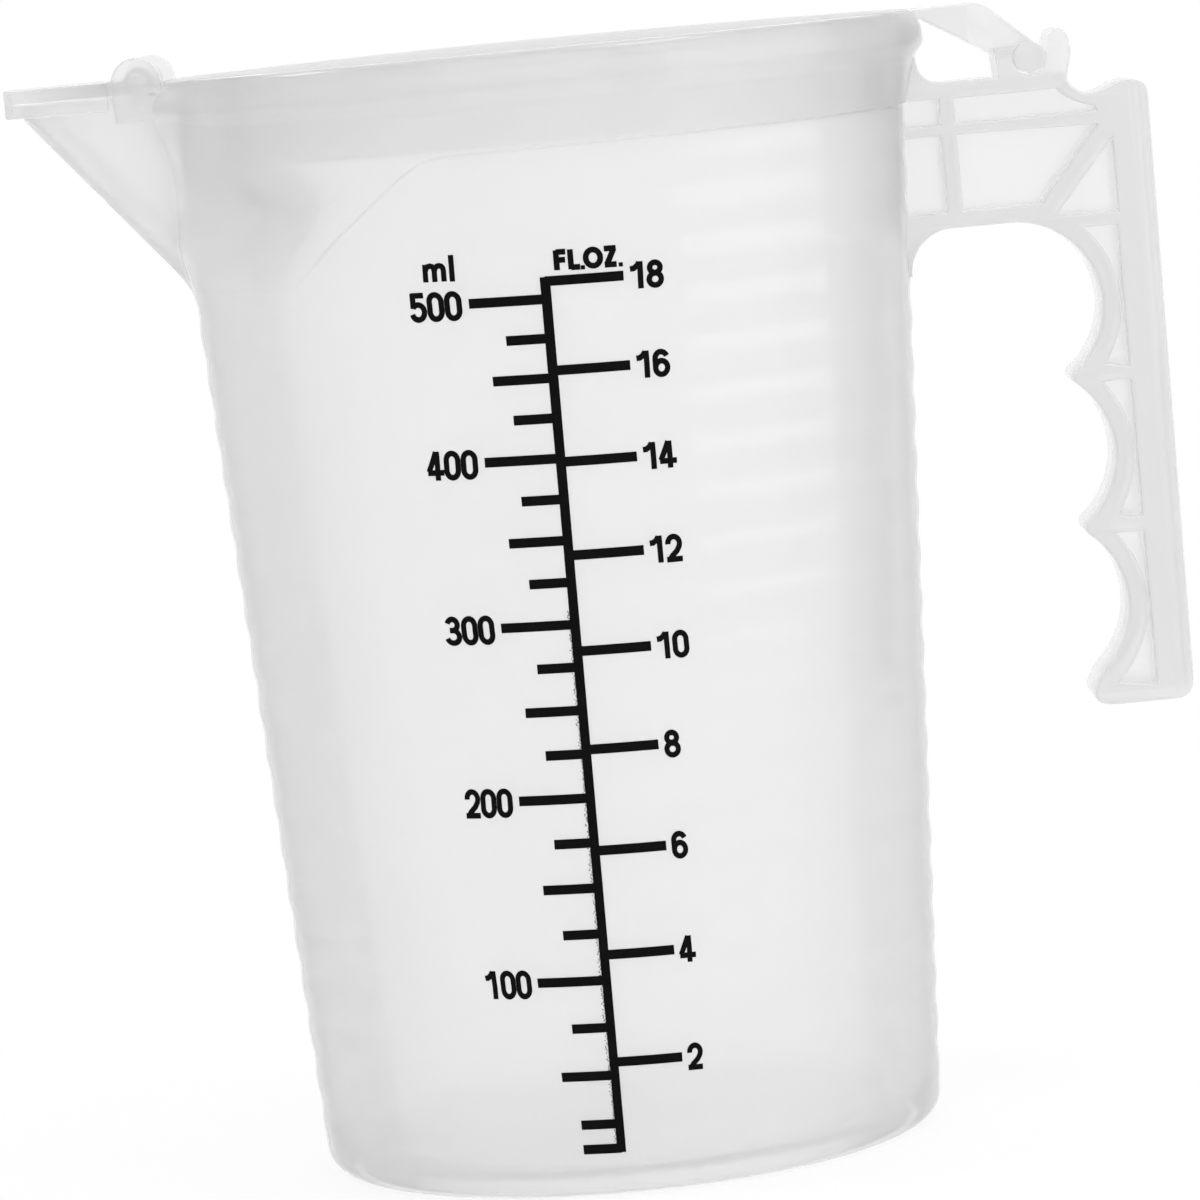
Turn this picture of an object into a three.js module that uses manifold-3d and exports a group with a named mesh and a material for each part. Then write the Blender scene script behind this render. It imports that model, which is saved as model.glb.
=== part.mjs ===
// A 500 ml measuring jug with a hinged lid and a hinged spout cover, in natural polypropylene.
// Millimetres, +Z up. The origin is the centre of the base on the table.
// The spout points to -X, the handle to +X, and the printed scale faces -Y.
import * as THREE from 'three';
import { mergeVertices } from 'three/addons/utils/BufferGeometryUtils.js';
import loadManifold from 'manifold-3d';

const wasm = await loadManifold();
wasm.setup();

// Running clearance between pieces that touch or turn
const CLEARANCE = 0.3;

// Vessel: a cone with a flat floor and a rounded foot
const JUG_HEIGHT = 135;
const BASE_RADIUS = 37.8;
const MOUTH_RADIUS = 45;
const WALL = 1.5;
const FLOOR = 3;
const FOOT_ROUND = 3;

// Collar: the wall steps out under the rim, and the step sweeps down towards the spout
const COLLAR_DEPTH = 11.4;
const COLLAR_RAMP = 1.5;
const COLLAR_STEP = 1.4;
const COLLAR_WALL = 1.9;
const SWEEP_START = 72;
const SWEEP_END = 46;

// Rim bead and the seat for the lid inside it
const BEAD_REACH = 1.2;
const BEAD_DROP = 3.7;
const BEAD_HEIGHT = 6.2;
const RIM_WIDTH = 0.7;
const SEAT_DEPTH = 1.5;
const SEAT_DRAFT = 0.4;

// Spout: a rounded V that narrows and rises to its tip
const SPOUT_LENGTH = 18.6;
const SPOUT_ROOT_DEPTH = 25.7;
const SPOUT_TIP_DEPTH = 3.2;
const SPOUT_ROOT_WIDTH = 31;
const SPOUT_TIP_WIDTH = 7;
const SPOUT_WALL = 1.5;
const KEEL_POWER = 1.4;

// Ears beside the spout that carry the spout cover's pins
const EAR_WIDTH = 5.8;
const EAR_THICKNESS = 3;
const EAR_OUT = 3;
const EAR_SKIRT = 4.5;
const EAR_PIN_RISE = 0.2;
const PIN_RADIUS = 1.1;
const PIN_DEPTH = 2.2;

// Spout cover
const COVER_THICKNESS = 1.7;
const COVER_OVERHANG = 1.9;
const COVER_SKIRT = 3;
const COVER_SKIRT_WALL = 1;
const COVER_SIDE_GAP = 0.5;
const COVER_EAR_GAP = 0.9;
const COVER_NOSE = 1.5;
const KNUCKLE_RADIUS = 1.7;

// Lid plate and skirt
const LID_THICKNESS = 1.2;
const LID_CROWN = 0.6;
const LID_SKIRT_DEPTH = 10.8;
const LID_SKIRT_WALL = 1.2;
const LID_SKIRT_INSET = 2.6;
const LID_SPOUT_GAP = 34;

// Lid hinge: a barrel on the end of the lid's arm, snapped into a cradle on the handle
const PIVOT_OUT = 14.7;
const PIVOT_DEPTH = 7.1;
const BARREL_RADIUS = 2.2;
const ARM_FLAT = 9.4;
const ARM_WIDTH = 8.4;
const ARM_THICKNESS = 1.3;
const ARM_WEB = 2;
const JAW_THICKNESS = 1.6;
const JAW_RISE = 2.3;
const HOOK_THICKNESS = 2.5;
const HOOK_RISE = 3.1;

// Handle: a web with flanges on both sides, cross ribs and finger grooves
const HANDLE_WIDTH = 12.4;
const HANDLE_WEB = 2;
const FLANGE = 2;
const GRIP_FLANGE = 2.2;
const SPINE_WIDTH = 4.9;
const GRIP_OUT = 28.8;
const GRIP_LEAN = 0.6;
const GRIP_LENGTH = 86.4;
const BEAM_HEIGHT = 17.6;
const RIB = 1.5;
const RIB_COLUMN_OUT = 4.2;
const RIB_ROW_DEPTH = 15;
const THUMB_DIP = 2.7;
const THUMB_BUMP = 2.4;
const BUMP_DROP = 1.3;
const GROOVE_CUT = 7.8;
const GROOVE_SAG = 5.05;
const FIRST_GROOVE_SHARE = 1.05;
const TOE_DROP = 3.2;
const TIP_ROUND = 1.2;
const CORNER_ROUND = 5.2;
const TOE_ROUND = 3;

// Facets
const AROUND = 72;
const PIN_SIDES = 20;
const ARC_STEPS = 6;

const polypropylene = new THREE.MeshStandardMaterial({ color: 0xe6e9e9, roughness: 0.42, metalness: 0 });

// Heights and places that follow from the sizes above
const degrees = (angle) => (angle * Math.PI) / 180;
const below = (depth) => JUG_HEIGHT - depth;
const coneRadius = (z) => BASE_RADIUS + ((MOUTH_RADIUS - BASE_RADIUS) * z) / JUG_HEIGHT;
const spoutRoot = coneRadius(below(SPOUT_ROOT_DEPTH));
const spoutTip = spoutRoot + SPOUT_LENGTH;
const spoutSlope = (SPOUT_ROOT_WIDTH - SPOUT_TIP_WIDTH) / 2 / SPOUT_LENGTH;
const spoutSide = Math.cos(Math.atan(spoutSlope));
const rimOuter = MOUTH_RADIUS + COLLAR_STEP;
const rimInner = rimOuter - RIM_WIDTH;
const seatOuter = rimInner - SEAT_DRAFT;
const lidRadius = seatOuter - CLEARANCE;
const earX = -(rimOuter + KNUCKLE_RADIUS - 0.9);
const earZ = JUG_HEIGHT + EAR_PIN_RISE;
const spoutHalf = (reach) => SPOUT_ROOT_WIDTH / 2 - spoutSlope * (reach - spoutRoot);
const earOuterY = spoutHalf(-earX) + EAR_OUT;
const earInnerY = earOuterY - EAR_THICKNESS;
const pivotX = MOUTH_RADIUS + PIVOT_OUT;
const pivotZ = below(PIVOT_DEPTH);
const cradleRadius = BARREL_RADIUS + CLEARANCE;

// A closed solid through a stack of rings that have as many points each
function loft(rings) {
  const count = rings[0].length;
  const positions = [];
  const index = [];
  const middle = (ring) => ring.reduce((sum, p) => sum.add(p), new THREE.Vector3()).divideScalar(count);
  rings.forEach((ring) => ring.forEach((p) => positions.push(p.x, p.y, p.z)));
  const first = rings.length * count;
  [middle(rings[0]), middle(rings.at(-1))].forEach((p) => positions.push(p.x, p.y, p.z));
  for (let k = 0; k < rings.length - 1; k += 1) {
    for (let i = 0; i < count; i += 1) {
      const a = k * count + i;
      const b = k * count + ((i + 1) % count);
      index.push(a, b, b + count, a, b + count, a + count);
    }
  }
  const last = (rings.length - 1) * count;
  for (let i = 0; i < count; i += 1) {
    const next = (i + 1) % count;
    index.push(first, next, i, first + 1, last + i, last + next);
  }
  const geometry = new THREE.BufferGeometry();
  geometry.setAttribute('position', new THREE.Float32BufferAttribute(positions, 3));
  geometry.setIndex(index);
  return geometry;
}

// A manifold solid from a closed geometry
function solid(geometry) {
  geometry.deleteAttribute('normal');
  geometry.deleteAttribute('uv');
  const merged = mergeVertices(geometry, 1e-4);
  const vertProperties = new Float32Array(merged.attributes.position.array);
  const triVerts = new Uint32Array(merged.index.array);
  return new wasm.Manifold(new wasm.Mesh({ numProp: 3, vertProperties, triVerts }));
}

// A named mesh from a manifold solid
function piece(name, shape) {
  const cut = shape.getMesh();
  const geometry = new THREE.BufferGeometry();
  geometry.setAttribute('position', new THREE.BufferAttribute(new Float32Array(cut.vertProperties), 3));
  geometry.setIndex(new THREE.BufferAttribute(new Uint32Array(cut.triVerts), 1));
  geometry.computeVertexNormals();
  const mesh = new THREE.Mesh(geometry, polypropylene);
  mesh.name = name;
  return mesh;
}

// An outline drawn in X and Z, extruded along Y from one place to another
function slab(outline, fromY, toY) {
  const shape = Array.isArray(outline)
    ? new THREE.Shape(outline.map(([x, z]) => new THREE.Vector2(x, z)))
    : outline;
  const geometry = new THREE.ExtrudeGeometry(shape, {
    depth: toY - fromY,
    bevelEnabled: false,
    curveSegments: ARC_STEPS,
  });
  geometry.rotateX(Math.PI / 2);
  geometry.translate(0, toY, 0);
  return solid(geometry);
}

// An outline drawn in X and Y, extruded up from one height to another
function plate(outline, fromZ, toZ) {
  const shape = new THREE.Shape(outline.map(([x, y]) => new THREE.Vector2(x, y)));
  const geometry = new THREE.ExtrudeGeometry(shape, { depth: toZ - fromZ, bevelEnabled: false });
  geometry.translate(0, 0, fromZ);
  return solid(geometry);
}

// A round rod along Y
function rod(radius, x, z, fromY, toY) {
  const geometry = new THREE.CylinderGeometry(radius, radius, toY - fromY, PIN_SIDES);
  geometry.translate(x, (fromY + toY) / 2, z);
  return solid(geometry);
}

// A box between two corners
function box(low, high) {
  const geometry = new THREE.BoxGeometry(high[0] - low[0], high[1] - low[1], high[2] - low[2]);
  geometry.translate((low[0] + high[0]) / 2, (low[1] + high[1]) / 2, (low[2] + high[2]) / 2);
  return solid(geometry);
}

// A turned solid from a profile of radius and height
function turned(profile) {
  const points = profile.map(([r, z]) => new THREE.Vector2(r, z));
  const geometry = new THREE.LatheGeometry(points, AROUND);
  geometry.rotateX(Math.PI / 2);
  return solid(geometry);
}

// The collar's lower edge: level round the jug, lower in front of the spout
function stepDepth(angle) {
  const fromSpout = Math.abs(((angle + 180) % 360) - 180);
  const along = THREE.MathUtils.clamp((SWEEP_START - fromSpout) / (SWEEP_START - SWEEP_END), 0, 1);
  return THREE.MathUtils.lerp(COLLAR_DEPTH, SPOUT_ROOT_DEPTH, along);
}

// One ring of the vessel: a radius beyond the cone at a depth that may follow the angle from the spout
function ring(depthAt, beyond) {
  const points = [];
  for (let i = 0; i < AROUND; i += 1) {
    const angle = (360 * i) / AROUND;
    const z = below(depthAt(angle));
    const r = coneRadius(z) + beyond;
    points.push(new THREE.Vector3(-r * Math.cos(degrees(angle)), -r * Math.sin(degrees(angle)), z));
  }
  return points;
}

// The vessel's outer form without its spout, grown by a clearance where a neighbour is cut to it
function vesselForm(grow = 0) {
  const level = (depth, beyond) => ring(() => depth, beyond + grow);
  const rampEnd = COLLAR_DEPTH - COLLAR_RAMP;
  const rings = [level(JUG_HEIGHT, -FOOT_ROUND)];
  for (let k = 1; k <= 3; k += 1) {
    const turn = (Math.PI / 2) * (k / 3);
    const lift = FOOT_ROUND * (1 - Math.cos(turn));
    rings.push(level(JUG_HEIGHT - lift, FOOT_ROUND * (Math.sin(turn) - 1)));
  }
  rings.push(ring(stepDepth, grow));
  rings.push(ring((angle) => THREE.MathUtils.lerp(stepDepth(angle), rampEnd, 0.6), COLLAR_STEP * 0.36 + grow));
  rings.push(level(rampEnd, COLLAR_STEP));
  rings.push(level(BEAD_HEIGHT, COLLAR_STEP));
  rings.push(level(BEAD_DROP + 0.8, COLLAR_STEP + BEAD_REACH));
  rings.push(level(BEAD_DROP - 0.8, COLLAR_STEP + BEAD_REACH));
  rings.push(level(0, COLLAR_STEP));
  return solid(loft(rings));
}

// The vessel's inside, with the seat for the lid at the top
function vesselInside() {
  const level = (depth, beyond) => ring(() => depth, beyond);
  const rampEnd = COLLAR_DEPTH - COLLAR_RAMP;
  const collar = COLLAR_STEP - COLLAR_WALL;
  const seat = (radius) => radius - coneRadius(below(SEAT_DEPTH));
  return solid(loft([
    level(JUG_HEIGHT - FLOOR, -WALL - FOOT_ROUND / 2),
    level(JUG_HEIGHT - FLOOR - FOOT_ROUND / 2, -WALL),
    ring(stepDepth, -WALL),
    ring((angle) => THREE.MathUtils.lerp(stepDepth(angle), rampEnd, 0.6), -WALL + (collar + WALL) * 0.36),
    level(rampEnd, collar),
    level(SEAT_DEPTH, collar),
    level(SEAT_DEPTH - 0.01, seat(seatOuter)),
    level(0, rimInner - MOUTH_RADIUS),
    level(-1, rimInner - MOUTH_RADIUS),
  ]));
}

// The spout's form, thinner by inset on its sides and floor, from inside the vessel to the tip.
// Its sides rise straight above the lip where the form is used as a cutter.
function spoutForm(inset, rise) {
  const start = spoutRoot - SPOUT_ROOT_WIDTH / 4;
  const end = spoutTip - inset;
  const lip = below(SEAT_DEPTH);
  const sections = [start, end].map((reach) => {
    const along = (reach - spoutRoot) / SPOUT_LENGTH;
    const half = spoutHalf(reach) - inset / spoutSide;
    const keel = below(THREE.MathUtils.lerp(SPOUT_ROOT_DEPTH, SPOUT_TIP_DEPTH, along)) + inset * 1.5;
    const points = [];
    for (let k = 0; k <= 2 * ARC_STEPS; k += 1) {
      const across = 1 - k / ARC_STEPS;
      const z = keel + (lip - keel) * Math.abs(across) ** KEEL_POWER;
      points.push(new THREE.Vector3(-reach, half * across, z));
    }
    if (rise > 0) {
      points.unshift(new THREE.Vector3(-reach, half, lip + rise));
      points.push(new THREE.Vector3(-reach, -half, lip + rise));
    }
    return points;
  });
  return solid(loft(sections));
}

// One ear: a plate with a round top, joined to the spout's side below the lip
function ear(side) {
  const half = EAR_WIDTH / 2;
  const outline = new THREE.Shape();
  outline.moveTo(earX - half, below(EAR_SKIRT));
  outline.lineTo(earX + half, below(EAR_SKIRT));
  outline.lineTo(earX + half, earZ);
  outline.absarc(earX, earZ, half, 0, Math.PI, false);
  const across = [side * earInnerY, side * earOuterY].sort((a, b) => a - b);
  const rootAcross = [side * (earInnerY - EAR_WIDTH), side * earOuterY].sort((a, b) => a - b);
  const upper = slab(outline, ...across);
  const root = box(
    [earX - half, rootAcross[0], below(EAR_SKIRT)],
    [earX + half, rootAcross[1], below(SEAT_DEPTH)],
  );
  const holeEnd = side * (earInnerY + PIN_DEPTH + CLEARANCE);
  const holeAcross = [side * (earInnerY - 1), holeEnd].sort((a, b) => a - b);
  return upper.add(root).subtract(rod(PIN_RADIUS + CLEARANCE, earX, earZ, ...holeAcross));
}

// Vessel with collar, rim, spout and ears
function makeVessel() {
  const notchHalf = ARM_WIDTH / 2 + 2 * CLEARANCE;
  const notch = box(
    [lidRadius - 1, -notchHalf, below(LID_THICKNESS + 2 * CLEARANCE)],
    [pivotX, notchHalf, JUG_HEIGHT + 1],
  );
  return vesselForm()
    .add(spoutForm(0, 0))
    .add(ear(-1))
    .add(ear(1))
    .subtract(vesselInside())
    .subtract(spoutForm(SPOUT_WALL, 2 * SEAT_DEPTH))
    .subtract(notch);
}

// The spout cover: a plate with a skirt outside the spout, a knuckle and two stub pins
function makeSpoutCover() {
  const top = JUG_HEIGHT + 0.5;
  const under = top - COVER_THICKNESS;
  const rear = -earX + EAR_WIDTH / 2 + COVER_EAR_GAP;
  const nose = spoutTip + COVER_OVERHANG;
  const outline = (inset) => {
    const widen = (COVER_SIDE_GAP + COVER_SKIRT_WALL - inset) / spoutSide;
    const half = (reach) => spoutHalf(reach) + widen;
    const front = nose - inset;
    const shoulder = front - COVER_NOSE;
    const back = rear - inset * 2;
    return [
      [-back, -half(back)],
      [-back, half(back)],
      [-shoulder, half(shoulder)],
      [-front, half(shoulder) - COVER_NOSE],
      [-front, COVER_NOSE - half(shoulder)],
      [-shoulder, -half(shoulder)],
    ];
  };
  const tongueHalf = Math.min(spoutHalf(rear) + COVER_SIDE_GAP, earInnerY - CLEARANCE);
  const knuckleHalf = spoutHalf(-earX) - SPOUT_WALL / spoutSide - 2 * CLEARANCE;
  const pinEnd = earInnerY + PIN_DEPTH;
  return plate(outline(0), below(COVER_SKIRT), top)
    .subtract(plate(outline(COVER_SKIRT_WALL), below(COVER_SKIRT) - 1, under))
    .add(box([-rear - 1, -tongueHalf, under], [earX, tongueHalf, top]))
    .add(rod(KNUCKLE_RADIUS, earX, earZ, -knuckleHalf, knuckleHalf))
    .add(rod(PIN_RADIUS, earX, earZ, -pinEnd, pinEnd));
}

// The arm's flange runs level from the lid, then slopes to touch the barrel's far side
function armFlange() {
  const bendX = MOUTH_RADIUS + ARM_FLAT;
  const dx = pivotX - bendX;
  const dz = pivotZ - JUG_HEIGHT;
  const reach = Math.hypot(dx, dz);
  const slope = Math.atan2(dz, dx) + Math.asin(BARREL_RADIUS / reach);
  const run = Math.sqrt(reach ** 2 - BARREL_RADIUS ** 2);
  const direction = [Math.cos(slope), Math.sin(slope)];
  const inward = [Math.sin(slope), -Math.cos(slope)];
  const touch = [bendX + run * direction[0], JUG_HEIGHT + run * direction[1]];
  const miter = ARM_THICKNESS * Math.tan(-slope / 2);
  const start = lidRadius - 3 * ARM_THICKNESS;
  return [
    [start, JUG_HEIGHT],
    [start, JUG_HEIGHT - LID_THICKNESS],
    [bendX - miter, JUG_HEIGHT - ARM_THICKNESS],
    [touch[0] + ARM_THICKNESS * inward[0], touch[1] + ARM_THICKNESS * inward[1]],
    touch,
    [bendX, JUG_HEIGHT],
  ];
}

// The lid: a crowned plate with a skirt, and the hinge arm with its barrel
function makeLid() {
  const edgeLow = JUG_HEIGHT - LID_THICKNESS;
  const skirtOuter = lidRadius - LID_SKIRT_INSET;
  const skirtInner = skirtOuter - LID_SKIRT_WALL;
  const crown = (r) => LID_CROWN * (1 - (r / lidRadius) ** 2);
  const steps = [0, 0.4, 0.75, 1].map((share) => share * lidRadius);
  const topEdge = steps.map((r) => [r, JUG_HEIGHT + crown(r)]);
  const lowEdge = steps.slice(0, -1).map((r) => [r, edgeLow + crown(r)]);
  const disc = turned([...lowEdge, [lidRadius, edgeLow], ...topEdge.reverse()]);
  const tube = turned([
    [skirtInner, below(LID_SKIRT_DEPTH)],
    [skirtOuter, below(LID_SKIRT_DEPTH)],
    [skirtOuter, JUG_HEIGHT - LID_THICKNESS / 2],
    [skirtInner, JUG_HEIGHT - LID_THICKNESS / 2],
    [skirtInner, below(LID_SKIRT_DEPTH)],
  ]);
  const mouthGap = box(
    [-lidRadius - 1, -LID_SPOUT_GAP / 2, below(LID_SKIRT_DEPTH) - 1],
    [0, LID_SPOUT_GAP / 2, edgeLow - CLEARANCE],
  );
  const frontTrim = box(
    [-lidRadius - 1, -lidRadius, edgeLow - 1],
    [earX + KNUCKLE_RADIUS + 3 * CLEARANCE, lidRadius, JUG_HEIGHT + 1],
  );
  const barrelHalf = HANDLE_WIDTH / 2;
  const web = [
    [lidRadius, JUG_HEIGHT - LID_THICKNESS / 2],
    [pivotX - 2 * BARREL_RADIUS, pivotZ + 0.3 * BARREL_RADIUS],
    [pivotX - BARREL_RADIUS, pivotZ - 0.2 * BARREL_RADIUS],
    [pivotX, pivotZ],
    [MOUTH_RADIUS + ARM_FLAT, JUG_HEIGHT - ARM_THICKNESS / 2],
  ];
  return disc
    .add(tube.subtract(mouthGap))
    .subtract(frontTrim)
    .add(slab(armFlange(), -ARM_WIDTH / 2, ARM_WIDTH / 2))
    .add(slab(web, -ARM_WEB / 2, ARM_WEB / 2))
    .add(rod(BARREL_RADIUS, pivotX, pivotZ, -barrelHalf, barrelHalf));
}

// Handle sizes that its outline and its pockets share
const beamTop = PIVOT_DEPTH + BARREL_RADIUS - CLEARANCE + 0.2;
const beamLow = beamTop + BEAM_HEIGHT;
const spineX = MOUTH_RADIUS + GRIP_OUT;
const spineInner = spineX - SPINE_WIDTH;
const hookX = pivotX + cradleRadius;
const grooveRight = spineX - GROOVE_CUT;
const tipX = grooveRight - GROOVE_SAG;
const pitch = (GRIP_LENGTH - TOE_DROP - beamLow) / (2 + FIRST_GROOVE_SHARE);
const firstSpan = pitch * FIRST_GROOVE_SHARE;
const firstRadius = GROOVE_SAG + firstSpan - Math.sqrt(2 * GROOVE_SAG * firstSpan);
const grooveRadius = ((pitch / 2) ** 2 + GROOVE_SAG ** 2) / (2 * GROOVE_SAG);
const firstGroove = { x: grooveRight - firstRadius, depth: beamLow + firstRadius, radius: firstRadius };
const tips = [0, 1, 2].map((k) => beamLow + firstSpan + k * pitch);
const grooves = [0.5, 1.5].map((k) => ({
  x: grooveRight - grooveRadius,
  depth: tips[0] + k * pitch,
  radius: grooveRadius,
}));

// The handle's outline, seen from the front
function handleOutline() {
  const shape = new THREE.Shape();
  const thumb = hookX + HOOK_THICKNESS;
  const dip = beamTop + THUMB_DIP;
  const dipX = (thumb + spineX) / 2;
  const inside = MOUTH_RADIUS - 4 * WALL;
  const wallTop = coneRadius(below(beamTop)) + COLLAR_STEP;
  const wallLow = coneRadius(below(beamLow + CORNER_ROUND));
  shape.moveTo(inside, below(beamLow + CORNER_ROUND));
  shape.lineTo(wallLow, below(beamLow + CORNER_ROUND));
  shape.absarc(wallLow + CORNER_ROUND, below(beamLow + CORNER_ROUND), CORNER_ROUND, Math.PI, Math.PI / 2, true);
  shape.lineTo(firstGroove.x, below(beamLow));
  const firstTurn = Math.asin((tips[0] - TIP_ROUND - firstGroove.depth) / firstGroove.radius);
  shape.absarc(firstGroove.x, below(firstGroove.depth), firstGroove.radius, Math.PI / 2, -firstTurn, true);
  grooves.forEach((groove, k) => {
    const turn = Math.asin((pitch / 2 - TIP_ROUND) / groove.radius);
    const fromX = groove.x + groove.radius * Math.cos(turn);
    const fromZ = below(groove.depth) + groove.radius * Math.sin(turn);
    shape.quadraticCurveTo(tipX, below(tips[k]), fromX, fromZ);
    shape.absarc(groove.x, below(groove.depth), groove.radius, turn, -turn, true);
  });
  const toe = spineX - GRIP_LEAN;
  shape.quadraticCurveTo(tipX - TIP_ROUND, below(GRIP_LENGTH), tipX + TOE_ROUND, below(GRIP_LENGTH));
  shape.lineTo(toe - TOE_ROUND, below(GRIP_LENGTH));
  shape.quadraticCurveTo(toe, below(GRIP_LENGTH), toe, below(GRIP_LENGTH - TOE_ROUND));
  const bumpX = spineX - THUMB_BUMP;
  shape.lineTo(spineX, below(dip + BUMP_DROP));
  shape.quadraticCurveTo(spineX, below(beamTop + BUMP_DROP), bumpX, below(beamTop + BUMP_DROP));
  shape.quadraticCurveTo(bumpX - BUMP_DROP, below(dip), dipX, below(dip));
  shape.quadraticCurveTo(thumb + BUMP_DROP / 2, below(dip), thumb, below(beamTop));
  shape.lineTo(wallTop + FLANGE, below(beamTop));
  shape.quadraticCurveTo(wallTop, below(beamTop), wallTop, below(beamTop - FLANGE));
  shape.lineTo(inside, below(beamTop - FLANGE));
  return shape;
}

// Points on a groove's arc grown by the flange, between two depths
function grooveWall(groove, fromDepth, toDepth) {
  const points = [];
  for (let k = 0; k <= ARC_STEPS; k += 1) {
    const depth = THREE.MathUtils.lerp(fromDepth, toDepth, k / ARC_STEPS);
    const rise = depth - groove.depth;
    points.push([groove.x + Math.sqrt((groove.radius + GRIP_FLANGE) ** 2 - rise ** 2), below(depth)]);
  }
  return points;
}

// The recesses that leave the web and the cross ribs standing
function handlePockets() {
  const inside = MOUTH_RADIUS - 4 * WALL;
  const column = MOUTH_RADIUS + RIB_COLUMN_OUT;
  const [columnLeft, columnRight] = [column - RIB / 2, column + RIB / 2];
  const [rowTop, rowLow] = [RIB_ROW_DEPTH - RIB / 2, RIB_ROW_DEPTH + RIB / 2];
  const [ceiling, floor] = [beamTop + FLANGE, beamLow - FLANGE];
  const braceFoot = firstGroove.x + firstGroove.radius / 2;
  const braceHead = spineInner - RIB;
  const sill = beamLow - FLANGE / 2;
  const gripRight = spineInner - GRIP_LEAN / 2;
  const rect = (x0, x1, d0, d1) => [[x0, below(d1)], [x1, below(d1)], [x1, below(d0)], [x0, below(d0)]];
  const grip = (wall) => [...wall, [gripRight, wall.at(-1)[1]], [gripRight, wall[0][1]]];
  return [
    rect(inside, columnLeft, ceiling, rowTop),
    rect(inside, columnLeft, rowLow, floor),
    [
      [columnRight, below(rowTop)],
      [braceHead, below(rowTop)],
      [hookX + HOOK_THICKNESS, below(ceiling + 1)],
      [hookX, below(ceiling)],
      [columnRight, below(ceiling)],
    ],
    [
      [columnRight, below(floor)],
      [braceFoot - RIB, below(floor)],
      [braceHead - RIB, below(rowLow)],
      [columnRight, below(rowLow)],
    ],
    [
      [braceFoot + RIB, below(sill)],
      [spineInner, below(sill)],
      [spineInner, below(rowLow + RIB)],
    ],
    grip(grooveWall(firstGroove, sill + RIB, tips[0] - RIB / 2)),
    grip(grooveWall(grooves[0], tips[0] + RIB / 2, tips[1] - RIB / 2)),
    grip(grooveWall(grooves[1], tips[1] + RIB / 2, GRIP_LENGTH - FLANGE)),
  ];
}

// The cradle: a jaw with a slot for the arm's web, and two prongs that hook over the barrel's ends
function cradle() {
  const root = below(beamTop + FLANGE / 2);
  const half = HANDLE_WIDTH / 2;
  const jawLeft = pivotX - cradleRadius - JAW_THICKNESS;
  const jaw = [
    [jawLeft + 0.3, root],
    [pivotX, root],
    [pivotX - cradleRadius + 0.4, pivotZ + JAW_RISE],
    [jawLeft, pivotZ + JAW_RISE],
  ];
  const prong = new THREE.Shape();
  const tipX = hookX + HOOK_THICKNESS / 2;
  prong.moveTo(pivotX, root);
  prong.lineTo(hookX + HOOK_THICKNESS - 0.8, root);
  prong.lineTo(hookX + HOOK_THICKNESS, pivotZ);
  prong.quadraticCurveTo(hookX + HOOK_THICKNESS, pivotZ + HOOK_RISE, tipX, pivotZ + HOOK_RISE);
  prong.quadraticCurveTo(hookX - 0.2, pivotZ + HOOK_RISE, hookX - 0.2, pivotZ + BARREL_RADIUS / 2);
  const webSlot = box(
    [jawLeft - 1, -ARM_WEB / 2 - 2 * CLEARANCE, below(beamTop)],
    [pivotX, ARM_WEB / 2 + 2 * CLEARANCE, pivotZ + HOOK_RISE],
  );
  const armPath = box(
    [pivotX, -ARM_WIDTH / 2 - 2 * CLEARANCE, below(beamTop)],
    [hookX + HOOK_THICKNESS + 1, ARM_WIDTH / 2 + 2 * CLEARANCE, pivotZ + HOOK_RISE + 1],
  );
  return slab(jaw, -half, half)
    .subtract(webSlot)
    .add(slab(prong, -half, half).subtract(armPath));
}

// The handle with its cradle, cut back from the vessel's wall
function makeHandle() {
  const half = HANDLE_WIDTH / 2;
  let handle = slab(handleOutline(), -half, half);
  handlePockets().forEach((pocket) => {
    handle = handle
      .subtract(slab(pocket, HANDLE_WEB / 2, half + 1))
      .subtract(slab(pocket, -half - 1, -HANDLE_WEB / 2));
  });
  return handle
    .add(cradle())
    .subtract(rod(cradleRadius, pivotX, pivotZ, -half - 1, half + 1))
    .subtract(vesselForm(CLEARANCE));
}

const jug = new THREE.Group();
jug.add(piece('vessel', makeVessel()));
jug.add(piece('handle', makeHandle()));
jug.add(piece('lid', makeLid()));
jug.add(piece('spout_cover', makeSpoutCover()));

export default jug;
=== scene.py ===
# %% [markdown]
# # A lidded measuring jug
#
# The real jug is three snap-together mouldings in natural polypropylene: the jug itself with its
# spout and handle, a lid that hinges on the handle, and a small cover that hinges over the spout.
# A black scale is printed on the near wall, and the far wall has one in faint relief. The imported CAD
# model is loaded first and stays where it is: each piece below is a finer copy of a CAD piece, drawn
# in the same frame and riding on the same body. Sizes are written in millimetres and angles in
# degrees, and the meshes are made in metres.

# %% Load the frame
import math

import bmesh
import bpy
import numpy as np
from mathutils import Matrix, Quaternion, Vector


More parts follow.
